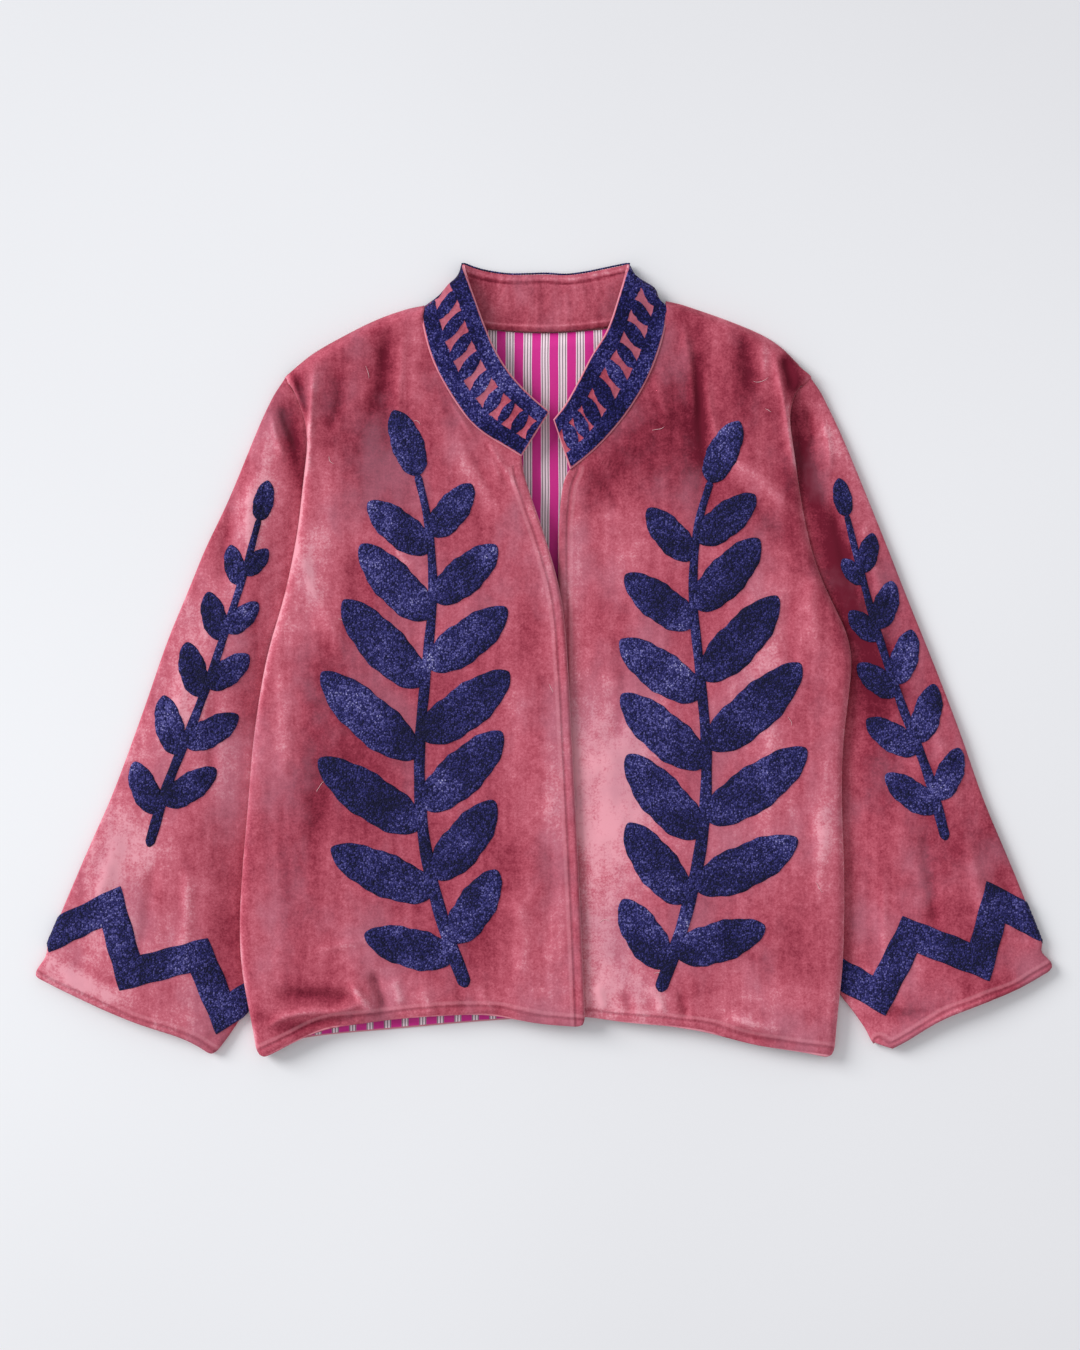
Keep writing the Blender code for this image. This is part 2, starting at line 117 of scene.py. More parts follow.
def addNode(tree, kind, inputs=None, **settings):
    made = tree.nodes.new("ShaderNode" + kind)
    for key, value in settings.items():
        setattr(made, key, value)
    for key, value in (inputs or {}).items():
        if isinstance(value, bpy.types.NodeSocket):
            tree.links.new(value, made.inputs[key])
        else:
            made.inputs[key].default_value = value
    return made


def sums(tree, how, a, b=0.0, c=None, clamp=False):
    inputs = {0: a, 1: b}
    if c is not None:
        inputs[2] = c
    return addNode(tree, "Math", inputs, operation=how, use_clamp=clamp).outputs[0]


def stepUp(tree, value, low, high):
    return addNode(tree, "MapRange", {0: value, 1: low, 2: high, 3: 0.0, 4: 1.0},
                   interpolation_type="SMOOTHSTEP").outputs[0]


def mixColours(tree, share, a, b, blend="MIX"):
    made = addNode(tree, "Mix", {0: share, 6: a, 7: b}, data_type="RGBA", blend_type=blend)
    return made.outputs[2]


def colourRamp(tree, share, stops):
    made = addNode(tree, "ValToRGB", {0: share})
    ramp = made.color_ramp
    while len(ramp.elements) < len(stops):
        ramp.elements.new(0.5)
    for element, (place, colour) in zip(ramp.elements, stops):
        element.position = place
        element.color = colour
    return made.outputs[0]


def noiseAt(tree, place, scale, detail=2.0, rough=0.5, stretch=None, twist=0.0):
    if stretch:
        place = addNode(tree, "Mapping", {"Vector": place, "Scale": stretch}).outputs[0]
    return addNode(tree, "TexNoise", {"Vector": place, "Scale": scale, "Detail": detail,
                                      "Roughness": rough, "Distortion": twist}).outputs[0]


def ownValue(tree, key):
    # what keepValue left on the piece
    return addNode(tree, "Attribute", attribute_name=key).outputs["Fac"]


def sway(tree, level, noise, amount):
    # a noise about its middle, added to the level
    return sums(tree, "MULTIPLY_ADD", sums(tree, "SUBTRACT", noise, 0.5), amount, level)


def lineAt(tree, value, at, inner, outer):
    # 1 where the value is close to the place, 0 from the outer distance on
    off = sums(tree, "ABSOLUTE", sums(tree, "SUBTRACT", value, at))
    return sums(tree, "SUBTRACT", 1.0, stepUp(tree, off, inner, outer))


def finishSurface(tree, shader, colour, height, strength, distance):
    bump = addNode(tree, "Bump", {"Strength": strength, "Distance": distance, "Height": height})
    tree.links.new(bump.outputs[0], shader.inputs["Normal"])
    tree.links.new(colour, shader.inputs["Base Color"])


def newMaterial(name, roughness, sheen=0.0, sheenRoughness=0.5, sheenTint=(1, 1, 1, 1), specular=0.3):
    material = bpy.data.materials.new(name)
    material.use_nodes = True
    tree = material.node_tree
    shader = tree.nodes["Principled BSDF"]
    shader.inputs["Roughness"].default_value = roughness
    shader.inputs["Sheen Weight"].default_value = sheen
    shader.inputs["Sheen Roughness"].default_value = sheenRoughness
    shader.inputs["Sheen Tint"].default_value = sheenTint
    shader.inputs["Specular IOR Level"].default_value = specular
    place = addNode(tree, "TexCoord").outputs["Object"]
    return material, tree, shader, place


velvetLook = {
    "deep": tone(104, 22, 42), "dark": tone(146, 51, 70), "middle": tone(178, 79, 97),
    "light": tone(204, 107, 125), "wornAndHighlight": tone(232, 158, 172), "frost": tone(174, 114, 133),
    "blotch": 8.0, "streak": (110, 9, 60), "mottle": 120.0, "pile": 520.0,  # per metre
    "streakShare": 0.44, "mottleShare": 0.60, "pileShare": 0.85, "napAndShadingShare": 0.60, "frostShare": 0.44,
    "sewnLines": (("fromFrontEdge", 8.0), ("fromHem", 7.3)), "ridge": 3.6,  # millimetres from the edge
}


def velvetSurface(tree, place):
    # nap that lies in cloudy patches and up-and-down streaks, with a short mottled pile over it, and the
    # painted shade and highlights kept on each piece
    blotch = noiseAt(tree, place, velvetLook["blotch"], 4.0, 0.5, twist=0.4)
    streak = noiseAt(tree, place, 1.0, 3.0, 0.6, stretch=velvetLook["streak"], twist=0.2)
    mottle = noiseAt(tree, place, velvetLook["mottle"], 5.0, 0.65)
    pile = noiseAt(tree, place, velvetLook["pile"], 4.0, 0.75)
    brushed = noiseAt(tree, place, 13.0, 5.0, 0.55, stretch=(1.3, 0.8, 1.0))
    level = sums(tree, "MULTIPLY_ADD", blotch, 1.0, 0.02)
    level = sway(tree, level, streak, velvetLook["streakShare"])
    level = sway(tree, level, mottle, velvetLook["mottleShare"])
    level = sway(tree, level, pile, velvetLook["pileShare"])
    # the piece's own values: nap patches plus painted shade in creases and on sides turned from the lamp, and
    # painted highlights on ridges and edges
    level = sums(tree, "MULTIPLY_ADD", ownValue(tree, "napAndPaintedShading"), velvetLook["napAndShadingShare"], level)
    colour = colourRamp(tree, level, [
        (0.0, velvetLook["deep"]), (0.28, velvetLook["dark"]), (0.52, velvetLook["middle"]),
        (0.76, velvetLook["light"]), (1.0, velvetLook["wornAndHighlight"])])
    frosted = stepUp(tree, brushed, 0.45, 0.70)  # pile brushed the other way
    frosted = sums(tree, "MULTIPLY", frosted, velvetLook["frostShare"])
    colour = mixColours(tree, frosted, colour, velvetLook["frost"])
    ragged = sums(tree, "ADD", ownValue(tree, "fromRim"), sums(tree, "MULTIPLY", mottle, 1.6))
    wornAndHighlitEdge = sums(tree, "SUBTRACT", 1.0, stepUp(tree, ragged, 0.9, 2.3))  # lighter in the last 2 mm of an edge: worn pile and a painted edge highlight
    colour = mixColours(tree, sums(tree, "MULTIPLY", wornAndHighlitEdge, 0.75), colour, velvetLook["wornAndHighlight"])
    height = sums(tree, "ADD", sums(tree, "MULTIPLY", pile, 0.30), sums(tree, "MULTIPLY", mottle, 0.55))
    return colour, height


def makeVelvet(name, grooves=False):
    material, tree, shader, place = newMaterial(name, 0.92, 0.36, 0.34, tone(250, 200, 208), 0.12)
    colour, height = velvetSurface(tree, place)
    if grooves:  # the sewn line beside an edge, from the piece's own distances, with painted shade in its groove and a painted highlight on the ridge beyond
        for key, at in velvetLook["sewnLines"]:
            away = ownValue(tree, key)
            groove = lineAt(tree, away, at, 0.2, 2.0)
            puff = lineAt(tree, away, at * 0.5, 0.5, at * 0.5)
            ridge = lineAt(tree, away, at + velvetLook["ridge"], 0.4, 2.4)
            height = sums(tree, "MULTIPLY_ADD", groove, -1.3, height)
            height = sums(tree, "MULTIPLY_ADD", puff, 0.8, height)
            # painted shade in the groove and a painted highlight on the ridge
            colour = mixColours(tree, sums(tree, "MULTIPLY", groove, 0.30), colour, velvetLook["deep"])
            colour = mixColours(tree, sums(tree, "MULTIPLY", ridge, 0.22), colour, velvetLook["wornAndHighlight"])
    finishSurface(tree, shader, colour, height, 0.55, 0.0006)
    return material


threadLook = {
    "hollow": tone(8, 8, 46), "deep": tone(27, 26, 85), "middle": tone(51, 49, 114),
    "lit": tone(108, 105, 172), "stitchHighlight": tone(205, 204, 228), "grain": 700.0,
}


def threadSurface(tree, place):
    # small chain stitches packed close, each one catching the light its own way
    sideways = noiseAt(tree, place, 240.0, 2.0)
    endways = noiseAt(tree, place, 190.0, 2.0)
    drift = addNode(tree, "CombineXYZ", {0: sideways, 1: endways, 2: 0.0}).outputs[0]
    drift = addNode(tree, "VectorMath", {0: drift, "Scale": 0.0022}, operation="SCALE").outputs[0]
    bent = addNode(tree, "VectorMath", {0: place, 1: drift}, operation="ADD").outputs[0]
    cells = addNode(tree, "TexVoronoi", {"Vector": bent, "Scale": threadLook["grain"], "Randomness": 0.9})
    each = addNode(tree, "SeparateColor", {0: cells.outputs["Color"]}).outputs[0]
    rounded = sums(tree, "SUBTRACT", 1.0, sums(tree, "MULTIPLY", cells.outputs["Distance"], 1.25), clamp=True)
    cloud = noiseAt(tree, place, 26.0, 3.0)
    level = sums(tree, "MULTIPLY_ADD", each, 0.50, sums(tree, "MULTIPLY", rounded, 0.36))
    level = sway(tree, level, cloud, 1.05)
    # painted shade in the hollows between stitches and painted highlights on their domes
    colour = colourRamp(tree, level, [
        (0.18, threadLook["hollow"]), (0.38, threadLook["deep"]), (0.56, threadLook["middle"]),
        (0.82, threadLook["lit"]), (1.0, threadLook["stitchHighlight"])])
    return colour, rounded


def makeThread(name):
    material, tree, shader, place = newMaterial(name, 0.72, 0.04, 0.4, tone(190, 190, 225), 0.22)
    colour, height = threadSurface(tree, place)
    finishSurface(tree, shader, colour, height, 1.0, 0.0009)
    return material


# the row of windows as shares of the band's height, how far they widen to their ends, how far they reach
bandLook = {"centre": 0.485, "half": 0.215, "flare": 2.5, "reach": 10.0}


def makeBand(name):
    # the collar's velvet with its stitched border: two rails and a row of spools between them
    material, tree, shader, place = newMaterial(name, 0.86, 0.2, 0.4, tone(240, 205, 215), 0.15)
    velvet, pileHeight = velvetSurface(tree, place)
    thread, threadHeight = threadSurface(tree, place)
    wobble = sums(tree, "MULTIPLY", sums(tree, "SUBTRACT", noiseAt(tree, place, 210.0, 2.0), 0.5), 2.6)
    fromCentre = sums(tree, "SUBTRACT", ownValue(tree, "across"), bandLook["centre"])
    middle = sums(tree, "DIVIDE", fromCentre, bandLook["half"])
    squared = sums(tree, "MULTIPLY", middle, middle)
    half = sums(tree, "MULTIPLY_ADD", squared, bandLook["flare"], ownValue(tree, "windowHalf"))
    inside = sums(tree, "SUBTRACT", half, sums(tree, "ADD", ownValue(tree, "fromWindow"), wobble))
    toEnd = sums(tree, "SUBTRACT", 1.0, sums(tree, "ABSOLUTE", middle))
    short = sums(tree, "ADD", sums(tree, "MULTIPLY", toEnd, bandLook["reach"]), wobble)
    window = stepUp(tree, sums(tree, "MINIMUM", inside, short), -0.25, 0.35)
    raggedEdge = sums(tree, "ADD", ownValue(tree, "fromBandEdge"), sums(tree, "MULTIPLY", wobble, 0.3))
    piping = stepUp(tree, raggedEdge, 1.0, 1.6)
    share = sums(tree, "MULTIPLY", sums(tree, "SUBTRACT", 1.0, window), piping)
    share = sums(tree, "MULTIPLY", share, ownValue(tree, "outside"))
    colour = mixColours(tree, share, velvet, thread)
    height = addNode(tree, "Mix", {0: share, 2: pileHeight, 3: threadHeight}, data_type="FLOAT").outputs[0]
    height = sums(tree, "MULTIPLY_ADD", share, 0.5, height)
    finishSurface(tree, shader, colour, height, 0.8, 0.0007)
    return material


liningLook = {
    "magenta": tone(214, 40, 144), "white": tone(248, 224, 235), "line": tone(66, 36, 54),
    "repeat": 15.8, "magentaMiddle": 9.0, "magentaHalf": 4.0, "lineGap": 2.6, "lineHalf": 0.46,
    "lineShare": 0.8, "hemExtra": 0.75,
}


def makeLining(name):
    material, tree, shader, place = newMaterial(name, 0.62, 0.0, specular=0.35)
    look = liningLook
    split = addNode(tree, "SeparateXYZ", {0: place})
    x = sway(tree, sums(tree, "MULTIPLY", split.outputs[0], 1000.0), noiseAt(tree, place, 14.0, 1.0), 2.2)
    turn = sums(tree, "DIVIDE", sums(tree, "SUBTRACT", x, look["magentaMiddle"]), look["repeat"])
    offBand = sums(tree, "ABSOLUTE", sums(tree, "SUBTRACT", turn, sums(tree, "ROUND", turn)))
    fromMagenta = sums(tree, "MULTIPLY", offBand, look["repeat"])
    fromWhite = sums(tree, "SUBTRACT", look["repeat"] / 2, fromMagenta)
    atHem = sums(tree, "SUBTRACT", 1.0, stepUp(tree, split.outputs[1], -0.28, -0.2))
    half = sums(tree, "MULTIPLY_ADD", atHem, look["hemExtra"], look["magentaHalf"])  # fuller bands at the hem
    white = stepUp(tree, sums(tree, "SUBTRACT", fromMagenta, half), -0.15, 0.15)
    weave = noiseAt(tree, place, 1.0, 2.0, 0.6, stretch=(900, 1500, 900))
    slub = noiseAt(tree, place, 1.0, 3.0, 0.6, stretch=(500, 40, 500))
    cloud = noiseAt(tree, place, 22.0, 3.0)
    colour = mixColours(tree, white, look["magenta"], look["white"])
    for at in (0.0, look["lineGap"]):
        line = lineAt(tree, fromWhite, at, look["lineHalf"] * 0.7, look["lineHalf"] * 1.3)
        colour = mixColours(tree, sums(tree, "MULTIPLY", line, look["lineShare"]), colour, look["line"])
    shade = 1.0
    for noise, amount in ((cloud, 0.22), (weave, 0.2), (slub, 0.15)):
        shade = sway(tree, shade, noise, amount)
    grey = addNode(tree, "CombineColor", {0: shade, 1: shade, 2: shade}).outputs[0]
    colour = mixColours(tree, 1.0, colour, grey, "MULTIPLY")
    height = sums(tree, "ADD", weave, sums(tree, "MULTIPLY", slub, 0.8))
    finishSurface(tree, shader, colour, height, 0.35, 0.0002)
    return material


def makeLintMaterial(name):
    material, tree, shader, place = newMaterial(name, 0.8, 0.2)
    tint = noiseAt(tree, place, 60.0, 2.0)
    colour = mixColours(tree, tint, tone(222, 176, 182), tone(246, 216, 220))
    finishSurface(tree, shader, colour, noiseAt(tree, place, 2500.0), 0.2, 0.0001)
    return material


roseVelvet = makeVelvet("roseVelvet")
sewnVelvet = makeVelvet("roseVelvetSewnEdges", grooves=True)
navyThread = makeThread("navyChainStitch")
stitchedBand = makeBand("velvetWithStitchedBand")
stripedLining = makeLining("stripedLining")
paleLint = makeLintMaterial("paleLint")
print("jacket: materials made")


def clothCopy(node, name, levels, material):
    piece = bpy.data.objects.new(name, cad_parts[node].data.copy())
    bpy.context.scene.collection.objects.link(piece)
    piece.data.materials.clear()
    piece.data.materials.append(material)
    chooseOnly(piece)
    bpy.ops.object.mode_set(mode="EDIT")
    bpy.ops.mesh.select_all(action="SELECT")
    bpy.ops.mesh.customdata_custom_splitnormals_clear()
    bpy.ops.mesh.remove_doubles(threshold=2e-5)
    bpy.ops.mesh.tris_convert_to_quads(face_threshold=math.radians(40), shape_threshold=math.radians(80))
    bpy.ops.mesh.select_all(action="DESELECT")
    bpy.ops.mesh.select_mode(type="EDGE")
    bpy.ops.mesh.edges_select_sharp(sharpness=math.radians(50))
    bpy.ops.transform.edge_crease(value=1)
    bpy.ops.object.mode_set(mode="OBJECT")
    bpy.ops.object.shade_smooth()
    onRim = np.zeros(len(piece.data.vertices))
    for edge in piece.data.edges:
        if edge.select:
            onRim[edge.vertices[0]] = onRim[edge.vertices[1]] = 1
    keepValue(piece, "onRim", onRim)
    smooth = piece.modifiers.new("finer", "SUBSURF")
    smooth.levels = smooth.render_levels = levels
    bpy.ops.object.modifier_apply(modifier="finer")
    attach(piece, "root")
    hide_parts(node)
    return piece


def awayFromRim(piece, points):
    # the distance of each point from the cloth's open borders
    layer = np.empty(len(points), np.float32)
    piece.data.attributes["onRim"].data.foreach_get("value", layer)
    found = points[layer > 0.99]
    tree = KDTree(len(found))
    for k, point in enumerate(found):
        tree.insert(point, k)
    tree.balance()
    return np.array([tree.find(point)[2] for point in points])


def awayFromPath(points, path):
    # nearest place on a path in plan: distance, side (left is positive) and share of its length
    best = np.full(len(points), 1e9)
    side = np.zeros(len(points))
    share = np.zeros(len(points))
    for k, (a, b) in enumerate(zip(path[:-1], path[1:])):
        way = b[:2] - a[:2]
        reach = max(way @ way, 1e-9)
        along = np.clip(((points[:, :2] - a[:2]) @ way) / reach, 0, 1)
        gap = points[:, :2] - (a[:2] + along[:, None] * way)
        away = np.hypot(gap[:, 0], gap[:, 1])
        nearer = away < best
        best[nearer] = away[nearer]
        turn = way[0] * gap[:, 1] - way[1] * gap[:, 0]
        side[nearer] = np.sign(turn)[nearer]
        share[nearer] = (k + along[nearer]) / (len(path) - 1)
    return best, side, share


pressing = {"strength": 1.75}  # how deep the listed folds are pressed


def pressFolds(points, folds, bottom, top):
    # each fold: height, width, lean to its left, and the points it runs through
    lift = np.zeros(len(points))
    napAndPaintedShading = np.zeros(len(points))
    for height, width, lean, run in folds:
        path = smoothPath(run, 6.0)
        reach = width * 3.2
        near = np.all((points[:, :2] > path.min(0) - reach) & (points[:, :2] < path.max(0) + reach), axis=1)
        if not near.any():
            continue
        away, side, share = awayFromPath(points[near], path)
        wide = width * np.where(side > 0, 1 + lean, 1 - lean)
        shape = 1 / (1 + (away / wide) ** 2) ** 2
        shape *= easeBetween(0, 0.3, share) * easeBetween(1, 0.7, share)
        wander = 1 + 0.25 * rolling(points[near, 0], points[near, 1], 45, width)
        lift[near] += height * shape * wander * pressing["strength"]
        # painted shading: a painted highlight along raised folds, painted shade along sunken ones
        napAndPaintedShading[near] += 0.9 * height * shape * wander / (1.4 + abs(height))
    held = easeBetween(bottom, top, points[:, 2])
    points[:, 2] += lift * held
    return points, napAndPaintedShading * held


def roundCorner(points, corner, alongEdge, alongHem, reach):
    # a sewn corner turned out round: the square of cloth at the corner is drawn in to a quarter circle
    edge = np.array(alongEdge, float) / math.hypot(*alongEdge)
    hem = np.array(alongHem, float) / math.hypot(*alongHem)
    both = np.column_stack([edge, hem])
    places = (points[:, :2] - corner) @ np.linalg.inv(both).T  # along the edge, along the hem
    a = 1 - places[:, 1] / reach  # nearness to the edge
    b = 1 - places[:, 0] / reach  # nearness to the hem
    inside = (a > 0) & (b > 0)
    a, b = np.clip(a, 0, 1.15), np.clip(b, 0, 1.15)
    alongNow = reach * (1 - b * np.sqrt(1 - a * a / 2.4))
    acrossNow = reach * (1 - a * np.sqrt(1 - b * b / 2.4))
    points[inside, :2] = (corner + np.column_stack([alongNow, acrossNow]) @ both.T)[inside]
    return points


def nudge(points, nudges):
    # small shifts of the outline: place, reach and move
    for x, y, reachX, reachY, moveX, moveY in nudges:
        near = np.exp(-((points[:, 0] - x) / reachX) ** 2 - ((points[:, 1] - y) / reachY) ** 2)
        points[:, :2] += near[:, None] * np.array([moveX, moveY])
    return points


def layNapAndShade(points, patches, normals):
    # where the pile lies smoother and darker, or is brushed up and lighter, and where painted shade and light
    # lie on sides turned from the lamp, on sleeves beside the body and under folds: place, size, turn, tone
    total = np.zeros(len(points))
    for x, y, halfLong, halfWide, turn, strength in patches:
        way = math.radians(turn)
        u = (points[:, 0] - x) * math.cos(way) + (points[:, 1] - y) * math.sin(way)
        v = -(points[:, 0] - x) * math.sin(way) + (points[:, 1] - y) * math.cos(way)
        wobble = 1 + 0.3 * rolling(points[:, 0], points[:, 1], 60, x)
        total += strength * np.exp(-((u / halfLong) ** 2 + (v / halfWide) ** 2) * wobble)
    return total * easeBetween(-0.2, 0.5, normals[:, 2])


# each panel as seen from above: its edges, small shifts, rounded corners, folds, and patches of nap tone and
# painted shade and light
rightFront = {
    "node": "front_right", "levels": 3, "flat": (0.30, 0.70), "area": 0.185,
    "edge": [(37, -330), (34, -252), (30, -167), (25, -72), (22, -14), (16, 54), (2, 107), (-9, 139),
             (-18, 166), (-20, 184)],
    "hem": [(37, -330), (-6, -327), (-42, -320), (-70, -319), (-123, -322), (-164, -327), (-198, -332),
            (-229, -346), (-253, -357)],
    "side": [(-259, -357), (-267, -310), (-275, -243), (-272, -185), (-263, -77), (-247, 14), (-235, 53),
             (-222, 115), (-217, 161), (-212, 204), (-221, 232), (-233, 255)],
    "sideHighlight": 0.6, "nudges": [(-110.6, 318.5, 7, 7, 3, -0.5), (-233, 255.5, 8, 8, -1.2, -0.4)],
    "corners": [((38.0, -330.6), (-0.04, 1), (-1, 0.06), 11), ((-259.6, -357.4), (-0.12, 1), (1, 0.02), 10)],
    "folds": [
        (2.4, 4.5, 0.3, [(-206, 276), (-208, 248), (-210, 218), (-212, 186), (-216, 150)]),
        (-2.4, 4.5, 0.0, [(-223, 264), (-219, 243), (-214.5, 222), (-213, 205)]),
        (-1.4, 9, 0.2, [(-138, 308), (-144, 275), (-148, 240), (-166, 212)]),
        (0.9, 6, 0.0, [(-126, 300), (-129, 262), (-131, 225), (-128, 190)]),
        (-1.0, 7, 0.0, [(-190, 268), (-184, 234), (-195, 200)]),
        (-0.4, 2.0, 0.0, [(-146, 230), (-128, 231), (-104, 228)]),
        (1.0, 3.4, 0.3, [(-56, 208), (-46, 188), (-28, 159), (-12, 130)]),
        (0.7, 3.0, 0.0, [(-86, 235), (-76, 220), (-62, 196)]),
        (0.6, 2.6, 0.0, [(-48, 188), (-43, 170), (-36, 152)]),
        (-0.7, 5, 0.0, [(-70, 196), (-56, 168), (-38, 138)]),
        (0.8, 9, 0.0, [(-225, 120), (-214, 80), (-196, 40), (-182, 4)]),
        (-0.9, 12, 0.0, [(-170, 110), (-166, 60), (-176, 10)]),
        (0.7, 8, 0.2, [(-138, 120), (-120, 70), (-116, 30)]),
        (1.0, 12, 0.2, [(-238, 0), (-233, -60), (-236, -120)]),
        (-0.6, 12, 0.0, [(-215, -40), (-205, -130), (-214, -210)]),
        (0.9, 10, 0.0, [(-30, -200), (-18, -250), (-24, -300)]),
        (-0.8, 9, 0.0, [(2, -150), (6, -210), (0, -270)]),
        (2.6, 4.2, 0.2, [(-176, -288), (-166, -302), (-158, -312), (-146, -321)]),
        (-2.8, 5.2, 0.0, [(-156, -278), (-150, -292), (-146, -306), (-140, -318)]),
        (1.5, 6, 0.0, [(-136, -284), (-132, -298), (-128, -312)]),
        (0.8, 3.0, 0.0, [(-216, -266), (-190, -258), (-160, -252), (-130, -258)]),
        (2.0, 4.5, 0.2, [(-256, -336), (-238, -323), (-216, -317), (-190, -316), (-170, -311), (-156, -303)]),
        (-1.7, 6.5, 0.0, [(-252, -300), (-230, -299), (-202, -301), (-178, -302), (-160, -294)]),
        (-1.3, 4.5, 0.0, [(-240, -335), (-214, -328), (-190, -325), (-164, -322)]),
        (0.9, 6, 0.0, [(-112, -294), (-104, -308), (-100, -321)]),
        (-0.9, 6, 0.0, [(-80, -290), (-74, -306), (-72, -318)]),
        (0.8, 5, 0.0, [(-60, -296), (-50, -310), (-46, -320)]),
    ],
    "napAndShadePatches": [
        (-145, 262, 60, 16, 88, -0.34), (-188, 236, 36, 12, 80, -0.35), (-160, 200, 42, 26, 10, -0.3),
        (-118, 240, 45, 12, 92, 0.25), (-196, 150, 60, 16, 84, 0.25), (-150, 150, 40, 22, 20, -0.25),
        (-60, 160, 40, 10, 120, 0.45), (-92, 205, 50, 10, 118, 0.3), (-130, 60, 60, 30, 70, -0.2),
        (-215, 60, 60, 14, 80, 0.3), (-236, -60, 90, 16, 88, 0.25), (-205, -180, 70, 24, 80, 0.15),
        (-30, -60, 120, 12, 92, 0.25), (8, -160, 130, 12, 90, 0.35), (-250, -250, 70, 14, 92, 0.35),
        (-170, -250, 50, 26, 20, 0.15), (-90, -260, 60, 20, 30, -0.15), (5, 60, 90, 9, 98, 0.45),
        (-222, 236, 26, 6, 98, -0.7),
        (-210, -150, 140, 60, 90, -0.15), (-95, 268, 60, 60, 0, -0.22), (-80, -300, 90, 26, 0, 0.25),
        (-140, -20, 90, 50, 80, -0.1),
        (-200, -20, 60, 25, 60, -0.15), (-232, -330, 30, 8, -20, -0.4), (-150, -318, 14, 7, 0, -0.6),
    ],
}
leftFront = {
    "node": "front_left", "levels": 3, "flat": (0.29, 0.70), "area": 0.175,
    "edge": [(16, -321), (14, -150), (13, 0), (13, 109), (14, 134), (17, 158), (23, 172)],
    "hem": [(16, -321), (39, -321), (71, -326), (109, -329), (147, -335), (184, -345), (213, -350),
            (256, -356)],
    "side": [(262, -357), (266, -310), (271, -243), (271, -185), (270, -77), (276, -22), (277, 14),
             (259, 53), (237, 115), (229, 161), (223, 204), (221, 232), (240, 255)],
    "sideHighlight": 0.4, "nudges": [(112.6, 322.5, 7, 7, -3, -0.5), (239.5, 255.5, 8, 8, 1.4, 0.2)],
    "corners": [((262.4, -357.3), (0.04, 1), (-1, 0.02), 10)],
    "folds": [
        (2.5, 4.5, -0.3, [(207, 284), (212, 252), (217, 226), (223, 190), (228, 154)]),
        (-2.8, 5.5, 0.0, [(215, 276), (220, 258), (225, 240)]),
        (1.2, 6, 0.0, [(122, 316), (130, 270), (134, 232), (132, 200)]),
        (-1.4, 5, 0.0, [(131, 300), (138, 252), (143, 190), (150, 160)]),
        (1.3, 5, 0.0, [(146, 262), (148, 236), (152, 212), (160, 184)]),
        (1.1, 7, 0.0, [(156, 190), (176, 174), (200, 156), (228, 124)]),
        (-1.0, 8, 0.0, [(170, 160), (198, 130), (222, 100)]),
        (-1.1, 7, 0.0, [(178, 300), (181, 270), (184, 240)]),
        (0.8, 6, 0.0, [(194, 292), (198, 262), (200, 232)]),
        (0.6, 4, 0.0, [(96, 262), (104, 240), (112, 214)]),
        (0.5, 3, 0.0, [(44, 182), (56, 176), (68, 160)]),
        (-0.5, 4, 0.0, [(40, 170), (58, 152), (66, 130)]),
        (0.9, 10, 0.0, [(246, 90), (240, 50), (248, 0)]),
        (-0.9, 9, 0.0, [(226, 70), (218, 30), (226, -20)]),
        (0.9, 12, 0.0, [(196, -30), (206, -90), (198, -150)]),
        (-0.8, 10, 0.0, [(60, 40), (70, -20), (62, -90)]),
        (1.0, 12, 0.0, [(244, -110), (250, -170), (246, -230)]),
        (-1.0, 8, 0.0, [(150, -230), (180, -262), (224, -276)]),
        (1.0, 6, 0.0, [(96, -290), (104, -306), (108, -322)]),
        (-1.1, 5, 0.0, [(120, -296), (126, -312), (128, -326)]),
        (1.0, 6, 0.0, [(46, -290), (52, -306), (54, -318)]),
        (-0.8, 6, 0.0, [(70, -294), (76, -308), (78, -322)]),
        (1.2, 6, 0.0, [(160, -318), (190, -328), (224, -334)]),
        (-1.0, 5, 0.0, [(170, -330), (196, -339), (226, -345)]),
    ],
    "napAndShadePatches": [
        (137, 235, 80, 14, 94, -0.65), (180, 262, 45, 12, 90, -0.42), (104, 262, 40, 14, 100, -0.2),
        (155, 232, 50, 10, 92, 0.1), (212, 190, 60, 9, 98, -0.3), (264, 50, 70, 10, 98, -0.3),
        (196, 226, 60, 10, 86, 0.15), (178, 170, 60, 12, -38, 0.3),
        (60, 170, 50, 14, 50, -0.35), (28, 120, 90, 9, 90, 0.25), (90, 120, 60, 30, 60, 0.12),
        (225, 140, 50, 12, 100, -0.3), (246, 20, 70, 18, 90, -0.2), (200, 40, 60, 25, 80, 0.2),
        (255, -100, 90, 10, 90, 0.3), (210, -150, 70, 30, 70, 0.15), (120, -180, 60, 30, 60, 0.1),
        (26, -120, 150, 8, 90, 0.2), (230, -300, 50, 12, 5, 0.25), (150, -300, 50, 10, -15, -0.2),
        (70, -290, 60, 14, 0, 0.2), (226, 250, 26, 8, 104, -0.95), (205, 258, 40, 6, 98, 0.2),
        (62, -170, 190, 46, 90, 0.8), (90, 195, 70, 70, 90, -0.3), (190, 250, 60, 50, 0, -0.2),
        (175, 60, 60, 50, 90, 0.1),
    ],
}


# heights between which folds and rolls take hold, the rolls' height, size and seed, and the reach of the
# painted highlight along the side edge
frontCloth = {
    "foldsHold": (4, 8.5), "rollsHold": (6, 12), "rolls": [(0.5, 90, 2.3), (0.35, 34, 5.1)],
    "sideHighlightReach": 3.2, "edgeTop": 176, "noEdge": 60,  # over the edge's top it counts as 60 away
}


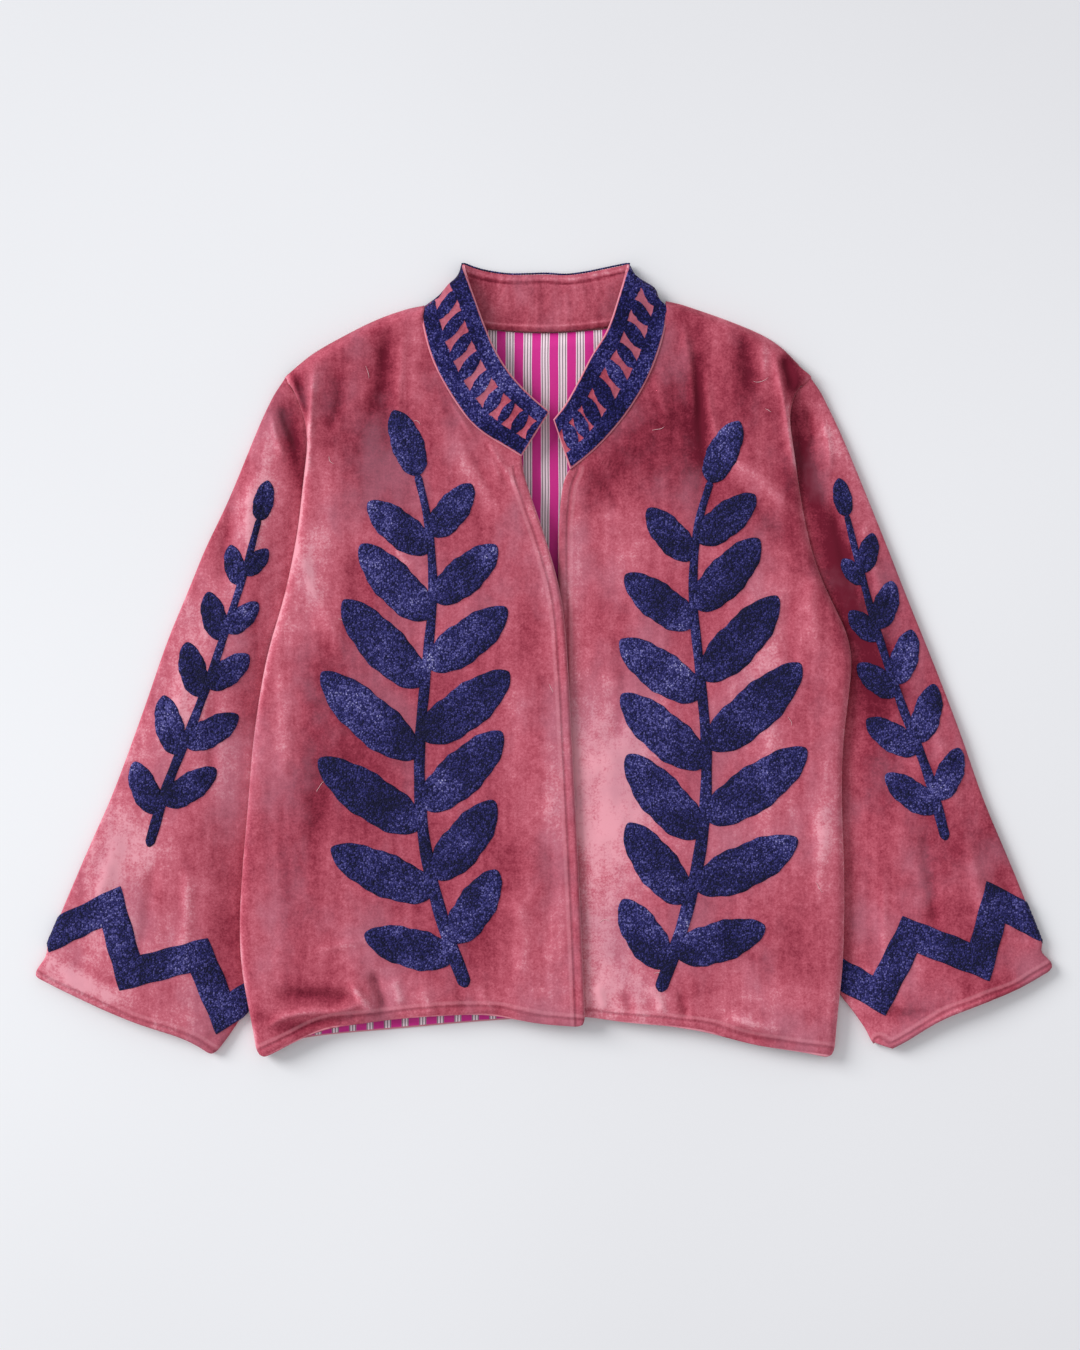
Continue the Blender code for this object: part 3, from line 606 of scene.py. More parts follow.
def makeFront(form, name):
    piece = clothCopy(form["node"], name, form["levels"], sewnVelvet)
    points = pointsOf(piece)
    points, napAndPaintedShading = pressFolds(points, form["folds"], *frontCloth["foldsHold"])
    for height, size, seed in frontCloth["rolls"]:
        lift = height * rolling(points[:, 0], points[:, 1], size, seed)
        points[:, 2] += lift * easeBetween(*frontCloth["rollsHold"], points[:, 2])
    points = nudge(points, form["nudges"])
    for corner in form["corners"]:
        points = roundCorner(points, *corner)
    movePoints(piece, points)
    edgeAway, hemAway, sideAway = [awayFromPath(points, smoothPath(form[key], 5))[0]
                                   for key in ("edge", "hem", "side")]
    # a painted highlight along the side edge, where the cloth turns down
    paintedSideHighlight = form["sideHighlight"] * np.exp(-(sideAway / frontCloth["sideHighlightReach"]) ** 2)
    paintedSideHighlight *= 1 + 0.5 * rolling(points[:, 0], points[:, 1], 40, 1.7)
    edgeAway = np.where(points[:, 1] > frontCloth["edgeTop"], frontCloth["noEdge"], edgeAway)
    keepValue(piece, "napAndPaintedShading", napAndPaintedShading + paintedSideHighlight + layNapAndShade(points, form["napAndShadePatches"], normalsOf(piece)))
    keepValue(piece, "fromFrontEdge", edgeAway)
    hemAway = hemAway + 0.9 * rolling(points[:, 0], points[:, 1], 60, 2.9)
    keepValue(piece, "fromHem", hemAway)
    keepValue(piece, "fromRim", np.minimum(edgeAway, hemAway) + 0.5)
    print("jacket:", name, len(points), "points")
    return piece


rightSleeve = {
    "node": "sleeve_right", "levels": 3, "flat": (0.42, 0.60), "area": 0.155,
    "cuff": [(-460, -285), (-427, -301), (-373, -325), (-323, -342), (-299, -357)],
    "nudges": [(-272, -309, 14, 13, 7, 0), (-452, -268, 12, 9, 3, 0), (-237, 252, 9, 9, 2.8, 2.4)],
    "corners": [((-299, -357.5), (-0.93, 0.36), (0.66, 0.75), 9),
                ((-461.5, -284.5), (0.93, -0.38), (0.3, 0.95), 8)],
    "raises": [(-232, 247, 18, 15, 3.2)],
    "folds": [
        (-2.0, 5, 0.2, [(-239, 232), (-232, 212), (-220, 186)]),
        (1.2, 4, 0.0, [(-247, 226), (-242, 204), (-232, 176)]),
        (1.1, 10, 0.0, [(-262, 170), (-266, 130), (-262, 80)]),
        (-1.0, 8, 0.0, [(-282, 140), (-288, 100), (-290, 60)]),
        (0.8, 9, 0.0, [(-318, 20), (-326, -30), (-340, -80)]),
        (-0.9, 9, 0.0, [(-296, -20), (-300, -70), (-296, -120)]),
        (1.0, 10, 0.0, [(-380, -150), (-396, -200), (-410, -240)]),
        (-1.1, 9, 0.0, [(-350, -170), (-356, -220), (-366, -270)]),
        (1.1, 8, 0.0, [(-322, -180), (-322, -240), (-330, -300)]),
        (-1.0, 6, 0.0, [(-438, -262), (-410, -280), (-370, -296)]),
        (0.9, 5, 0.0, [(-440, -280), (-408, -296), (-366, -312)]),
        (0.8, 5, 0.0, [(-330, -318), (-312, -328), (-300, -342)]),
    ],
    "napAndShadePatches": [
        (-256, 130, 70, 12, 80, 0.4), (-226, 190, 50, 9, 104, -0.9), (-244, 205, 40, 6, 76, 0.25),
        (-395, -215, 120, 75, 60, 0.5), (-335, -50, 90, 45, 72, 0.35), (-285, -250, 80, 18, 92, -0.45),
        (-300, 60, 60, 20, 70, 0.15),
        (-262, 20, 70, 14, 84, -0.3), (-290, -100, 90, 18, 88, 0.25), (-360, -190, 60, 24, 60, 0.2),
        (-400, -250, 50, 16, 30, 0.1), (-330, -260, 60, 16, 80, -0.2), (-420, -285, 50, 9, -25, 0.3),
    ],
}
leftSleeve = {
    "node": "sleeve_left", "levels": 3, "flat": (0.42, 0.60), "area": 0.155,
    "cuff": [(460, -278), (428, -296), (394, -310), (356, -325), (316, -350), (302, -345)],
    "nudges": [(273, -300, 14, 11, -4, 0), (306, -343, 14, 13, -5, -1), (457, -263, 10, 6, -5, 0),
               (243.5, 254, 9, 9, -2.8, 1.0)],
    "corners": [((461, -278), (-0.95, -0.32), (-0.35, 0.94), 8)],
    "raises": [(236, 249, 19, 16, 3.3)],
    "folds": [
        (-1.6, 5, 0.0, [(236, 232), (240, 212), (243, 188)]),
        (1.0, 5, 0.0, [(250, 222), (256, 196), (258, 166)]),
        (-1.2, 7, 0.0, [(256, 150), (268, 100), (280, 50)]),
        (1.0, 8, 0.0, [(286, 130), (298, 80), (312, 30)]),
        (-0.9, 8, 0.0, [(306, 40), (318, -10), (330, -60)]),
        (0.9, 9, 0.0, [(346, -40), (360, -90), (372, -140)]),
        (-1.2, 8, 0.0, [(338, -140), (348, -200), (356, -260)]),
        (1.1, 9, 0.0, [(378, -150), (392, -210), (402, -262)]),
        (-0.9, 7, 0.0, [(412, -190), (424, -230), (432, -262)]),
        (0.9, 7, 0.0, [(306, -180), (306, -240), (314, -300)]),
        (-1.2, 6, 0.0, [(300, -312), (322, -318), (350, -316)]),
        (0.9, 5, 0.0, [(330, -334), (372, -316), (410, -300)]),
    ],
    "napAndShadePatches": [
        (234, 185, 50, 10, 104, -1.0), (345, -80, 150, 60, 110, -0.48), (400, -250, 70, 60, 30, -0.2),
        (258, 205, 50, 8, 112, 0.15), (262, 90, 90, 14, 108, -0.8), (300, 120, 60, 10, 110, 0.3),
        (296, 0, 60, 16, 100, -0.4), (340, 10, 60, 12, 112, 0.15), (300, -120, 80, 14, 92, -0.3),
        (380, -120, 60, 16, 112, 0.2), (350, -260, 60, 20, 60, 0.1), (430, -260, 50, 14, 120, 0.25),
        (320, -320, 40, 9, 10, -0.3),
    ],
}


sleeveCloth = {
    "foldsHold": (3.2, 6.5), "rollsHold": (3.5, 7), "roll": (0.45, 80, 3.1), "raiseHold": (2.5, 5),
    "noEdge": 60,  # as if every front edge were far away
}


def makeSleeve(form, name):
    piece = clothCopy(form["node"], name, form["levels"], sewnVelvet)
    points = pointsOf(piece)
    points = nudge(points, form["nudges"])
    for corner in form["corners"]:
        points = roundCorner(points, *corner)
    cuffAway = awayFromPath(points, smoothPath(form["cuff"], 5))[0]
    keepValue(piece, "fromRim", cuffAway + 0.7)
    keepValue(piece, "fromFrontEdge", np.full(len(points), sleeveCloth["noEdge"]))
    keepValue(piece, "fromHem", cuffAway + 2.2 + 0.8 * rolling(points[:, 0], points[:, 1], 50, 1.9))
    points, napAndPaintedShading = pressFolds(points, form["folds"], *sleeveCloth["foldsHold"])
    height, size, seed = sleeveCloth["roll"]
    lift = height * rolling(points[:, 0], points[:, 1], size, seed)
    points[:, 2] += lift * easeBetween(*sleeveCloth["rollsHold"], points[:, 2])
    for x, y, reachX, reachY, up in form["raises"]:  # the sleeve's head meets the shoulder's underside
        near = np.exp(-((points[:, 0] - x) / reachX) ** 2 - ((points[:, 1] - y) / reachY) ** 2)
        points[:, 2] += up * near * easeBetween(*sleeveCloth["raiseHold"], points[:, 2])
    movePoints(piece, points)
    keepValue(piece, "napAndPaintedShading", napAndPaintedShading + layNapAndShade(points, form["napAndShadePatches"], normalsOf(piece)))
    print("jacket:", name, len(points), "points")
    return piece


frontRight = makeFront(rightFront, "velvetFrontRight")
frontLeft = makeFront(leftFront, "velvetFrontLeft")
sleeveRight = makeSleeve(rightSleeve, "velvetSleeveRight")
sleeveLeft = makeSleeve(leftSleeve, "velvetSleeveLeft")

backForm = {"flat": (0.54, 0.68), "area": 0.32, "levels": 2}
back = clothCopy("back", "velvetBack", backForm["levels"], roseVelvet)
keepValue(back, "fromRim", awayFromRim(back, pointsOf(back)) + 0.4)
keepValue(back, "napAndPaintedShading", np.zeros(len(back.data.vertices)))

liningForm = {"flat": (0.53, 0.65), "area": 0.30, "levels": 2}
lining = clothCopy("back_lining", "stripedBackLining", liningForm["levels"], stripedLining)
print("jacket: back and lining done")


collarForm = {
    "levels": 3, "raise": 0.8, "flat": (0.50, 0.05), "seamReach": 2.5,
    "bulges": [(-1, 339, 8, 5.5), (1, 335, 9, 7)],  # side, middle and reach along Y, how far
    # base and rim of the band from its right end round the neck: x, y, z of each
    "sections": [
        (-19, 185, 15.5, 5, 223, 17), (-36, 195.3, 15.5, -9.4, 235, 18), (-51, 204.2, 15.5, -21, 246.4, 18.5),
        (-65, 216, 15.5, -32.2, 259.7, 18.5), (-78.8, 234.8, 15.5, -43.7, 278.3, 18.5),
        (-92.7, 258.6, 15.5, -53.8, 301.9, 18), (-100.2, 278.5, 15.3, -60.6, 320.8, 17.5),
        (-105.6, 300, 14.4, -68, 341.5, 15.8), (-107.6, 311, 12.4, -71.3, 350.5, 13.4),
        (-109.6, 317.8, 9.2, -73.5, 356.5, 9.2), (-106, 317.2, 5, -70.6, 356.2, 4.6),
        (-96.5, 311.6, 4.1, -62, 353, 3), (-80, 305.4, 3.7, -50, 350, 2.6), (-51, 300, 3.7, -32, 347.5, 2.6),
        (-24, 297.8, 3.7, -14, 347.5, 3.4), (2, 297, 3.7, 2, 348, 2.6), (28, 298.4, 3.7, 20, 347, 3),
        (55, 301.4, 3.7, 37, 349, 3.2), (85, 307.4, 3.7, 54, 352.5, 2.6), (99.4, 314.4, 4.1, 66, 355, 3),
        (108.4, 320.6, 5, 73.4, 356.5, 4.6), (110, 320.6, 9.2, 76.6, 356.5, 9.2),
        (107.8, 312, 12.8, 74, 350, 14), (104.6, 294, 15, 68, 330, 17), (92.8, 257.6, 15.5, 57, 297, 18),
        (75.8, 228, 15.5, 43, 274, 18.5), (58, 205.4, 15.5, 30, 249, 18.5),
        (41.2, 188.4, 15.5, 19, 229.5, 18), (22.6, 173.4, 15.5, 8.4, 216, 17)],
    # velvet windows between the spools, from each front end: place, half width
    "rightWindows": [(10, 2.2), (25.8, 2.4), (39.7, 2.5), (57.3, 2.8), (76.3, 2.9), (95.6, 2.9), (114.8, 3.0),
                     (134.8, 2.8), (154.8, 2.9), (174.8, 2.8), (195, 2.8), (215, 2.8)],
    "leftWindows": [(2.5, 1.3), (18, 0.4), (31.5, 0.6), (48.8, 1.7), (70, 2.7), (89.6, 2.9), (108, 2.9),
                    (129, 2.9), (149, 2.8), (169, 2.8), (189, 2.8), (209, 2.8)],
}


def patchMesh(name, rows, columns):
    clearSelection()
    bpy.ops.mesh.primitive_grid_add(x_subdivisions=columns - 1, y_subdivisions=rows - 1, size=2)
    patch = bpy.context.object
    patch.name = name
    return patch


def bandPlaces(points, normals, sections):
    # share across and distance along the band for every point of the collar, and the side it is on
    rows = np.array(sections, float)
    middle = (rows[:, :3] + rows[:, 3:]) / 2
    both = smoothPath(np.hstack([middle[:, :2], rows]), 1.0)[:, 2:]
    low, high = both[:, :3], both[:, 3:]
    centre = (low + high) / 2
    run = np.concatenate([[0], np.cumsum(np.linalg.norm(np.diff(centre, axis=0), axis=1))])
    shares = np.linspace(0, 1, 17)
    grid = low[:, None] + shares[None, :, None] * (high - low)[:, None]
    alongWay = np.gradient(grid, axis=0) / np.gradient(run)[:, None, None]
    acrossWay = np.repeat((high - low)[:, None], len(shares), axis=1)
    outWay = np.cross(acrossWay, alongWay)
    outWay /= np.linalg.norm(outWay, axis=2)[..., None]
    if outWay[5, 8, 2] < 0:
        outWay = -outWay
    flat = grid.reshape(-1, 3)
    tree = KDTree(len(flat))
    for k, point in enumerate(flat):
        tree.insert(point, k)
    tree.balance()
    nearest = np.array([tree.find(point)[1] for point in points])
    row, column = nearest // len(shares), nearest % len(shares)
    gap = points - flat[nearest]
    stepAlong = alongWay[row, column]
    stepAcross = acrossWay[row, column]
    # solve the two small offsets in the band's own slanted directions
    aa = np.einsum("ij,ij->i", stepAlong, stepAlong)
    bb = np.einsum("ij,ij->i", stepAcross, stepAcross)
    ab = np.einsum("ij,ij->i", stepAlong, stepAcross)
    ga = np.einsum("ij,ij->i", gap, stepAlong)
    gb = np.einsum("ij,ij->i", gap, stepAcross)
    fall = aa * bb - ab * ab
    along = run[row] + (ga * bb - gb * ab) / fall
    across = shares[column] + (gb * aa - ga * ab) / fall
    out = outWay[row, column]
    height = np.linalg.norm((high - low), axis=1)[row] * np.sqrt(np.clip(fall / (aa * bb), 0.2, 1))
    facing = np.einsum("ij,ij->i", normals, out)
    upWay = stepAcross / np.linalg.norm(stepAcross, axis=1)[:, None]
    return along, across, height, facing, out, upWay, run[-1]


def makeCollar(form, name):
    piece = clothCopy("collar", name, form["levels"], stitchedBand)
    points, normals = pointsOf(piece), normalsOf(piece)
    along, across, height, facing, out, upWay, total = bandPlaces(points, normals, form["sections"])
    places = np.array([w[0] for w in form["rightWindows"]] + [total - w[0] for w in form["leftWindows"]])
    halves = np.array([w[1] for w in form["rightWindows"]] + [w[1] for w in form["leftWindows"]])
    order = np.argsort(places)
    places, halves = places[order], halves[order]
    keep = np.concatenate([[True], np.diff(places) > 11])
    places, halves = places[keep], halves[keep]
    gaps = np.abs(along[:, None] - places[None])
    nearest = gaps.argmin(1)
    fromWindow = gaps[np.arange(len(along)), nearest]
    windowHalf = halves[nearest]
    edge = np.minimum.reduce([across * height, (1 - across) * height, along, total - along])
    outside = easeBetween(0.05, 0.35, facing)
    keepValue(piece, "across", across)
    keepValue(piece, "fromWindow", fromWindow)
    keepValue(piece, "windowHalf", windowHalf)
    keepValue(piece, "fromBandEdge", edge)
    keepValue(piece, "outside", outside)
    keepValue(piece, "fromRim", np.where(facing > 0.3, np.maximum(edge, 0), 9))
    # the back's inner face: a sewn line below the rim, a ridge over the neck seam and small upright puckers,
    # with painted shade in the sewn line and hollows and painted highlights on the ridges
    inner = easeBetween(-0.3, -0.8, facing)
    fromTop, fromBase = (1 - across) * height, across * height
    puckers = rolling(along, across * 14, 23, 4.4) + 0.6 * rolling(along, across * 9, 11, 1.3)
    paintedSeamShading = (0.4 * np.exp(-((fromTop - 3.4) / 2.0) ** 2) - 0.95 * np.exp(-((fromTop - 7) / 0.9) ** 2)
             + 0.5 * np.exp(-((fromBase - 4.4) / 1.3) ** 2) - 0.6 * np.exp(-((fromBase - 2.4) / 0.8) ** 2))
    keepValue(piece, "napAndPaintedShading", inner * (paintedSeamShading + 0.16 * puckers - 0.05))
    middle = (across - bandLook["centre"]) / bandLook["half"]
    toEnd = (1 - np.abs(middle)) * bandLook["reach"]
    window = np.minimum(windowHalf + bandLook["flare"] * middle**2 - fromWindow, toEnd)
    stitched = (1 - easeBetween(-0.7, 0.8, window)) * easeBetween(0.6, 2.2, edge) * outside
    points += out * (stitched * form["raise"])[:, None]
    sewn = np.exp(-((fromTop - 7) / 1.3) ** 2) * 0.6 - np.exp(-((fromBase - 4) / 1.6) ** 2) * 0.6
    sewn -= 0.35 * puckers
    points += out * (sewn * inner)[:, None]
    # the seam edge is turned out over the fronts, and the band bulges where it turns to the back
    atSeam = easeBetween(0.16, 0.0, across) * (0.4 + 0.6 * easeBetween(6, 11, points[:, 2]))
    reach = form["seamReach"] * (1 + 0.5 * easeBetween(90, 104, np.abs(points[:, 0])))
    points += (out * 0.45 - upWay * reach[:, None]) * atSeam[:, None]
    for sideWay, middleY, reachY, bulge in form["bulges"]:
        onSide = easeBetween(56, 78, sideWay * points[:, 0])
        lowPart = easeBetween(1.0, 0.45, across)
        points[:, 0] += sideWay * bulge * np.exp(-((points[:, 1] - middleY) / reachY) ** 2) * onSide * lowPart
    movePoints(piece, points)
    print("jacket: collar", len(points), "points, band", round(total), "mm")
    return piece


collar = makeCollar(collarForm, "stitchedCollar")

rimForm = {
    "thick": 0.85, "step": 0.5, "knot": 2.3,
    "path": [(-74.5, 357, 7.5), (-71, 357.4, 4.2), (-62, 354.2, 2.8), (-50, 351.2, 2.4),
             (-32, 348.7, 2.4), (-14, 348.7, 3.1),
             (2, 349.2, 2.4), (20, 348.2, 2.8), (37, 350.2, 3.0), (54, 353.7, 2.4), (66, 356.2, 2.8),
             (74, 357.6, 4.2), (77.6, 357.2, 7.5)],
}


def dressPlain(piece, material):
    # one material and no UV map, as the finishes read Object coordinates
    while piece.data.uv_layers:
        piece.data.uv_layers.remove(piece.data.uv_layers[0])
    piece.data.materials.clear()
    piece.data.materials.append(material)


def makeRimStitch(form, name):
    # the outer face's stitches, seen as a knotted line along the top of the back
    line = smoothPath(form["path"], form["step"])
    count, around = len(line), 9
    cord = patchMesh(name, count, around)
    way = np.gradient(line, axis=0)
    way /= np.linalg.norm(way, axis=1)[:, None]
    side = np.cross(way, [0, 0, 1.0])
    side /= np.linalg.norm(side, axis=1)[:, None]
    up = np.cross(side, way)
    turns = np.linspace(0, 2 * math.pi, around)
    run = np.arange(count) * form["step"]
    knots = np.abs(np.sin(run * math.pi / form["knot"] + 0.8 * np.sin(run / 7)))
    thick = form["thick"] * (0.72 + 0.34 * knots)
    thick[0] = thick[-1] = 0.01
    ring = np.cos(turns)[None, :, None] * side[:, None] + np.sin(turns)[None, :, None] * up[:, None]
    movePoints(cord, (line[:, None] + thick[:, None, None] * ring).reshape(-1, 3))
    chooseOnly(cord)
    bpy.ops.object.mode_set(mode="EDIT")
    bpy.ops.mesh.select_all(action="SELECT")
    bpy.ops.mesh.remove_doubles(threshold=3e-5)
    bpy.ops.mesh.normals_make_consistent(inside=False)
    bpy.ops.object.mode_set(mode="OBJECT")
    bpy.ops.object.shade_smooth()
    dressPlain(cord, navyThread)
    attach(cord, "root")
    print("jacket: rim stitch", count, "rings")
    return cord


rimStitch = makeRimStitch(rimForm, "navyRimStitch")

stitchForm = {"rise": 1.05, "sunk": 0.25, "shoulder": 0.7, "wall": 0.5, "step": 2.2, "rib": 0.7}


class Ground:
    # a finished panel that stitches are laid on
    def __init__(self, piece):
        points = pointsOf(piece)
        faces = [tuple(face.vertices) for face in piece.data.polygons]
        self.tree = BVHTree.FromPolygons([Vector(p) for p in points], faces)

    def lay(self, x, y, rise):
        hit, normal = self.tree.ray_cast(Vector((x, y, 60)), Vector((0, 0, -1)))[:2]
        if hit is None:  # past the panel's outline, so down over its edge
            near = self.tree.find_nearest(Vector((x, y, 4)))[0]
            over = math.hypot(near.x - x, near.y - y)
            hit, normal = self.tree.find_nearest(Vector((x, y, max(1.2, 4 - over))))[:2]
        if normal.z < 0:
            normal = Vector((normal.x, normal.y, abs(normal.z) * 0.2)).normalized()
        return hit + normal * rise


def stitchPatch(ground, name, plan, rise):
    # plan: rows x columns of x, y; rise: the same of heights over the cloth
    rows, columns = plan.shape[:2]
    patch = patchMesh(name, rows, columns)
    flat = plan.reshape(-1, 2)
    up = rise.reshape(-1)
    points = np.array([ground.lay(x, y, h) for (x, y), h in zip(flat, up)])
    movePoints(patch, points)
    return patch


halfLeaf = [0.07, 0.22, 0.45, 0.66, 0.84, 0.94, 1]
acrossLeaf = np.array([-place for place in reversed(halfLeaf)] + [0] + halfLeaf)
acrossStem = np.array([-1, -0.8, -0.4, 0, 0.4, 0.8, 1])


def pileUp(inside):
    # stitches stand full height a little way in, and their border is sunk into the cloth
    rise = stitchForm["rise"] * (1 - np.exp(-np.maximum(inside, 0) / stitchForm["shoulder"]))
    rise[inside <= 1e-6] = -stitchForm["sunk"]
    return rise


def leafPatch(ground, name, root, heading, length, width, bend, seed):
    count = max(8, int(length / stitchForm["step"]))
    share = np.concatenate([[0, 0.012], np.linspace(0.035, 0.965, count), [0.988, 1]])
    way = math.radians(heading) + np.radians(bend) * (share - 0.15)
    stepLong = np.diff(share) * length
    middle = np.zeros((len(share), 2))
    middle[1:, 0] = np.cumsum(np.cos(way[1:]) * stepLong)
    middle[1:, 1] = np.cumsum(np.sin(way[1:]) * stepLong)
    middle += root
    full = (1 - np.abs(2 * share**0.86 - 1) ** 2.3) ** 0.62
    half = width / 2 * full * (1 + 0.035 * np.sin(share * 17 + seed * 2.1) + 0.02 * np.sin(share * 41 + seed))
    half = np.maximum(half, 0.8)
    side = np.column_stack([-np.sin(way), np.cos(way)])
    plan = middle[:, None] + acrossLeaf[None, :, None] * half[:, None, None] * side[:, None]
    inward = (1 - np.abs(acrossLeaf))[None] * half[:, None]
    ends = np.minimum(share, 1 - share)[:, None] * length
    inside = np.minimum(inward, ends)
    ribbed = easeBetween(0.04, 0.2, share) * easeBetween(0.97, 0.8, share) * (half > 3)
    rib = np.exp(-((np.abs(acrossLeaf)[None] * half[:, None]) / 1.1) ** 2) * ribbed[:, None]
    rise = pileUp(inside) - stitchForm["rib"] * rib * (inside > 1e-6)
    return stitchPatch(ground, name, plan, rise)


def stemPatch(ground, name, path, startWidth, endWidth, seed):
    line = smoothPath(path, stitchForm["step"])
    share = np.linspace(0, 1, len(line))
    way = np.gradient(line, axis=0)
    way /= np.linalg.norm(way, axis=1)[:, None]
    side = np.column_stack([-way[:, 1], way[:, 0]])
    half = (startWidth + (endWidth - startWidth) * share) / 2 * (1 + 0.05 * np.sin(share * 60 + seed))
    half *= np.sqrt(np.clip(np.minimum(share, 1 - share) * len(line) * stitchForm["step"] / 5, 0.05, 1))
    plan = line[:, None] + acrossStem[None, :, None] * half[:, None, None] * side[:, None]
    inside = (1 - np.abs(acrossStem))[None] * half[:, None]
    rise = pileUp(inside)
    rise[0] = rise[-1] = -stitchForm["sunk"]
    return stitchPatch(ground, name, plan, rise)


def joinStitches(patches, name, material, wallThickness):
    clearSelection()
    for patch in patches:
        patch.select_set(True)
    bpy.context.view_layer.objects.active = patches[0]
    bpy.ops.object.join()
    piece = bpy.context.object
    piece.name = piece.data.name = name
    bpy.ops.object.transform_apply(location=True, rotation=True, scale=True)
    shell = piece.modifiers.new("wall", "SOLIDIFY")
    shell.thickness = wallThickness * mm
    shell.offset = -1
    bpy.ops.object.modifier_apply(modifier="wall")
    bpy.ops.object.shade_smooth()
    dressPlain(piece, material)
    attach(piece, "root")
    print("jacket:", name, len(piece.data.polygons), "faces")
    return piece


# each branch: its stem, the stem's widths, and its leaves
# a leaf: share of the stem, side, length, width, angle off the stem, bend; a tip: the same from the length on
rightBranch = {
    "stem": [(-70, -294), (-92, -232), (-108, -160), (-112, -85), (-106, -10), (-100, 60), (-104, 122),
             (-114, 168)],
    "widths": (12, 6), "seed": 11,
    "leaves": [
        (0.06, 1, 82, 35, 58, -10), (0.09, -1, 76, 34, 56, 10),
        (0.19, 1, 100, 38, 56, -12), (0.22, -1, 88, 37, 56, 12),
        (0.32, 1, 110, 40, 54, -12), (0.355, -1, 98, 39, 55, 12),
        (0.455, 1, 114, 40, 54, -12), (0.49, -1, 98, 39, 54, 12),
        (0.59, 1, 104, 39, 53, -11), (0.625, -1, 88, 36, 52, 11),
        (0.72, 1, 90, 36, 52, -10), (0.755, -1, 74, 33, 50, 10),
        (0.85, 1, 70, 31, 50, -9), (0.88, -1, 58, 28, 48, 9),
    ],
    "tip": (62, 28, 4, 10),
}
leftBranch = {
    "stem": [(104, -298), (126, -234), (142, -160), (146, -85), (140, -10), (134, 58), (138, 118),
             (150, 162)],
    "widths": (12, 6), "seed": 10,
    "leaves": [
        (0.05, 1, 72, 34, 57, -10), (0.08, -1, 84, 36, 57, 10),
        (0.18, 1, 88, 37, 56, -12), (0.21, -1, 102, 39, 56, 12),
        (0.31, 1, 98, 39, 54, -12), (0.345, -1, 110, 40, 54, 12),
        (0.445, 1, 98, 38, 54, -12), (0.48, -1, 112, 40, 54, 12),
        (0.58, 1, 88, 36, 53, -11), (0.615, -1, 100, 38, 52, 11),
        (0.715, 1, 76, 33, 51, -10), (0.75, -1, 84, 35, 50, 10),
        (0.845, 1, 60, 28, 49, -9), (0.88, -1, 66, 30, 48, 9),
    ],
    "tip": (60, 27, -6, -10),
}
rightSprig = {
    "stem": [(-356, -168), (-338, -110), (-312, -46), (-288, 22), (-268, 84), (-256, 128)],
    "widths": (9, 5), "seed": 10,
    "leaves": [
        (0.10, 1, 50, 24, 46, -14), (0.13, -1, 56, 25, 44, 12),
        (0.28, 1, 54, 25, 42, -14), (0.31, -1, 54, 25, 42, 12),
        (0.46, 1, 50, 24, 40, -12), (0.49, -1, 46, 23, 36, 10),
        (0.63, 1, 44, 22, 38, -10), (0.66, -1, 38, 19, 32, 10),
        (0.80, 1, 36, 18, 34, -10), (0.83, -1, 30, 16, 28, 8),
    ],
    "tip": (36, 17, 0, 6),
}
leftSprig = {
    "stem": [(362, -162), (346, -104), (322, -40), (300, 26), (284, 84), (272, 132)],
    "widths": (9, 5), "seed": 9,
    "leaves": [
        (0.09, 1, 56, 25, 44, -12), (0.12, -1, 50, 24, 44, 14),
        (0.27, 1, 54, 25, 42, -14), (0.30, -1, 54, 25, 42, 12),
        (0.45, 1, 44, 22, 36, -10), (0.48, -1, 50, 24, 40, 12),
        (0.62, 1, 36, 19, 32, -10), (0.65, -1, 44, 22, 38, 10),
        (0.79, 1, 28, 15, 28, -8), (0.82, -1, 36, 18, 34, 10),
    ],
    "tip": (34, 16, 0, -6),
}


def makeBranch(form, name, ground):
    line = smoothPath(form["stem"], 2)
    patches = [stemPatch(ground, name + "Stem", form["stem"], *form["widths"], form["seed"])]
    for k, (share, side, length, width, angle, bend) in enumerate(form["leaves"]):
        at = int(share * (len(line) - 1))
        way = line[min(at + 3, len(line) - 1)] - line[max(at - 3, 0)]
        heading = math.degrees(math.atan2(way[1], way[0])) + side * angle
        root = line[at] + 2.0 * np.array([math.cos(math.radians(heading)), math.sin(math.radians(heading))])
        patches.append(leafPatch(ground, f"{name}Leaf{k}", root, heading, length, width, bend, k + 1))
    length, width, angle, bend = form["tip"]
    way = line[-1] - line[-4]
    heading = math.degrees(math.atan2(way[1], way[0])) + angle
    patches.append(leafPatch(ground, name + "Tip", line[-1] - way / 3, heading, length, width, bend, 3))
    return patches


zigzagForm = {
    "width": 26,
    "right": [(-452, -252), (-433, -243), (-390, -222), (-373, -282), (-311, -266), (-289, -318),
              (-256, -298)],
    "left": [(462, -246), (443.7, -237), (407, -218), (392.4, -271.4), (329.9, -247.5), (302.4, -302.4),
             (258, -278)],
}


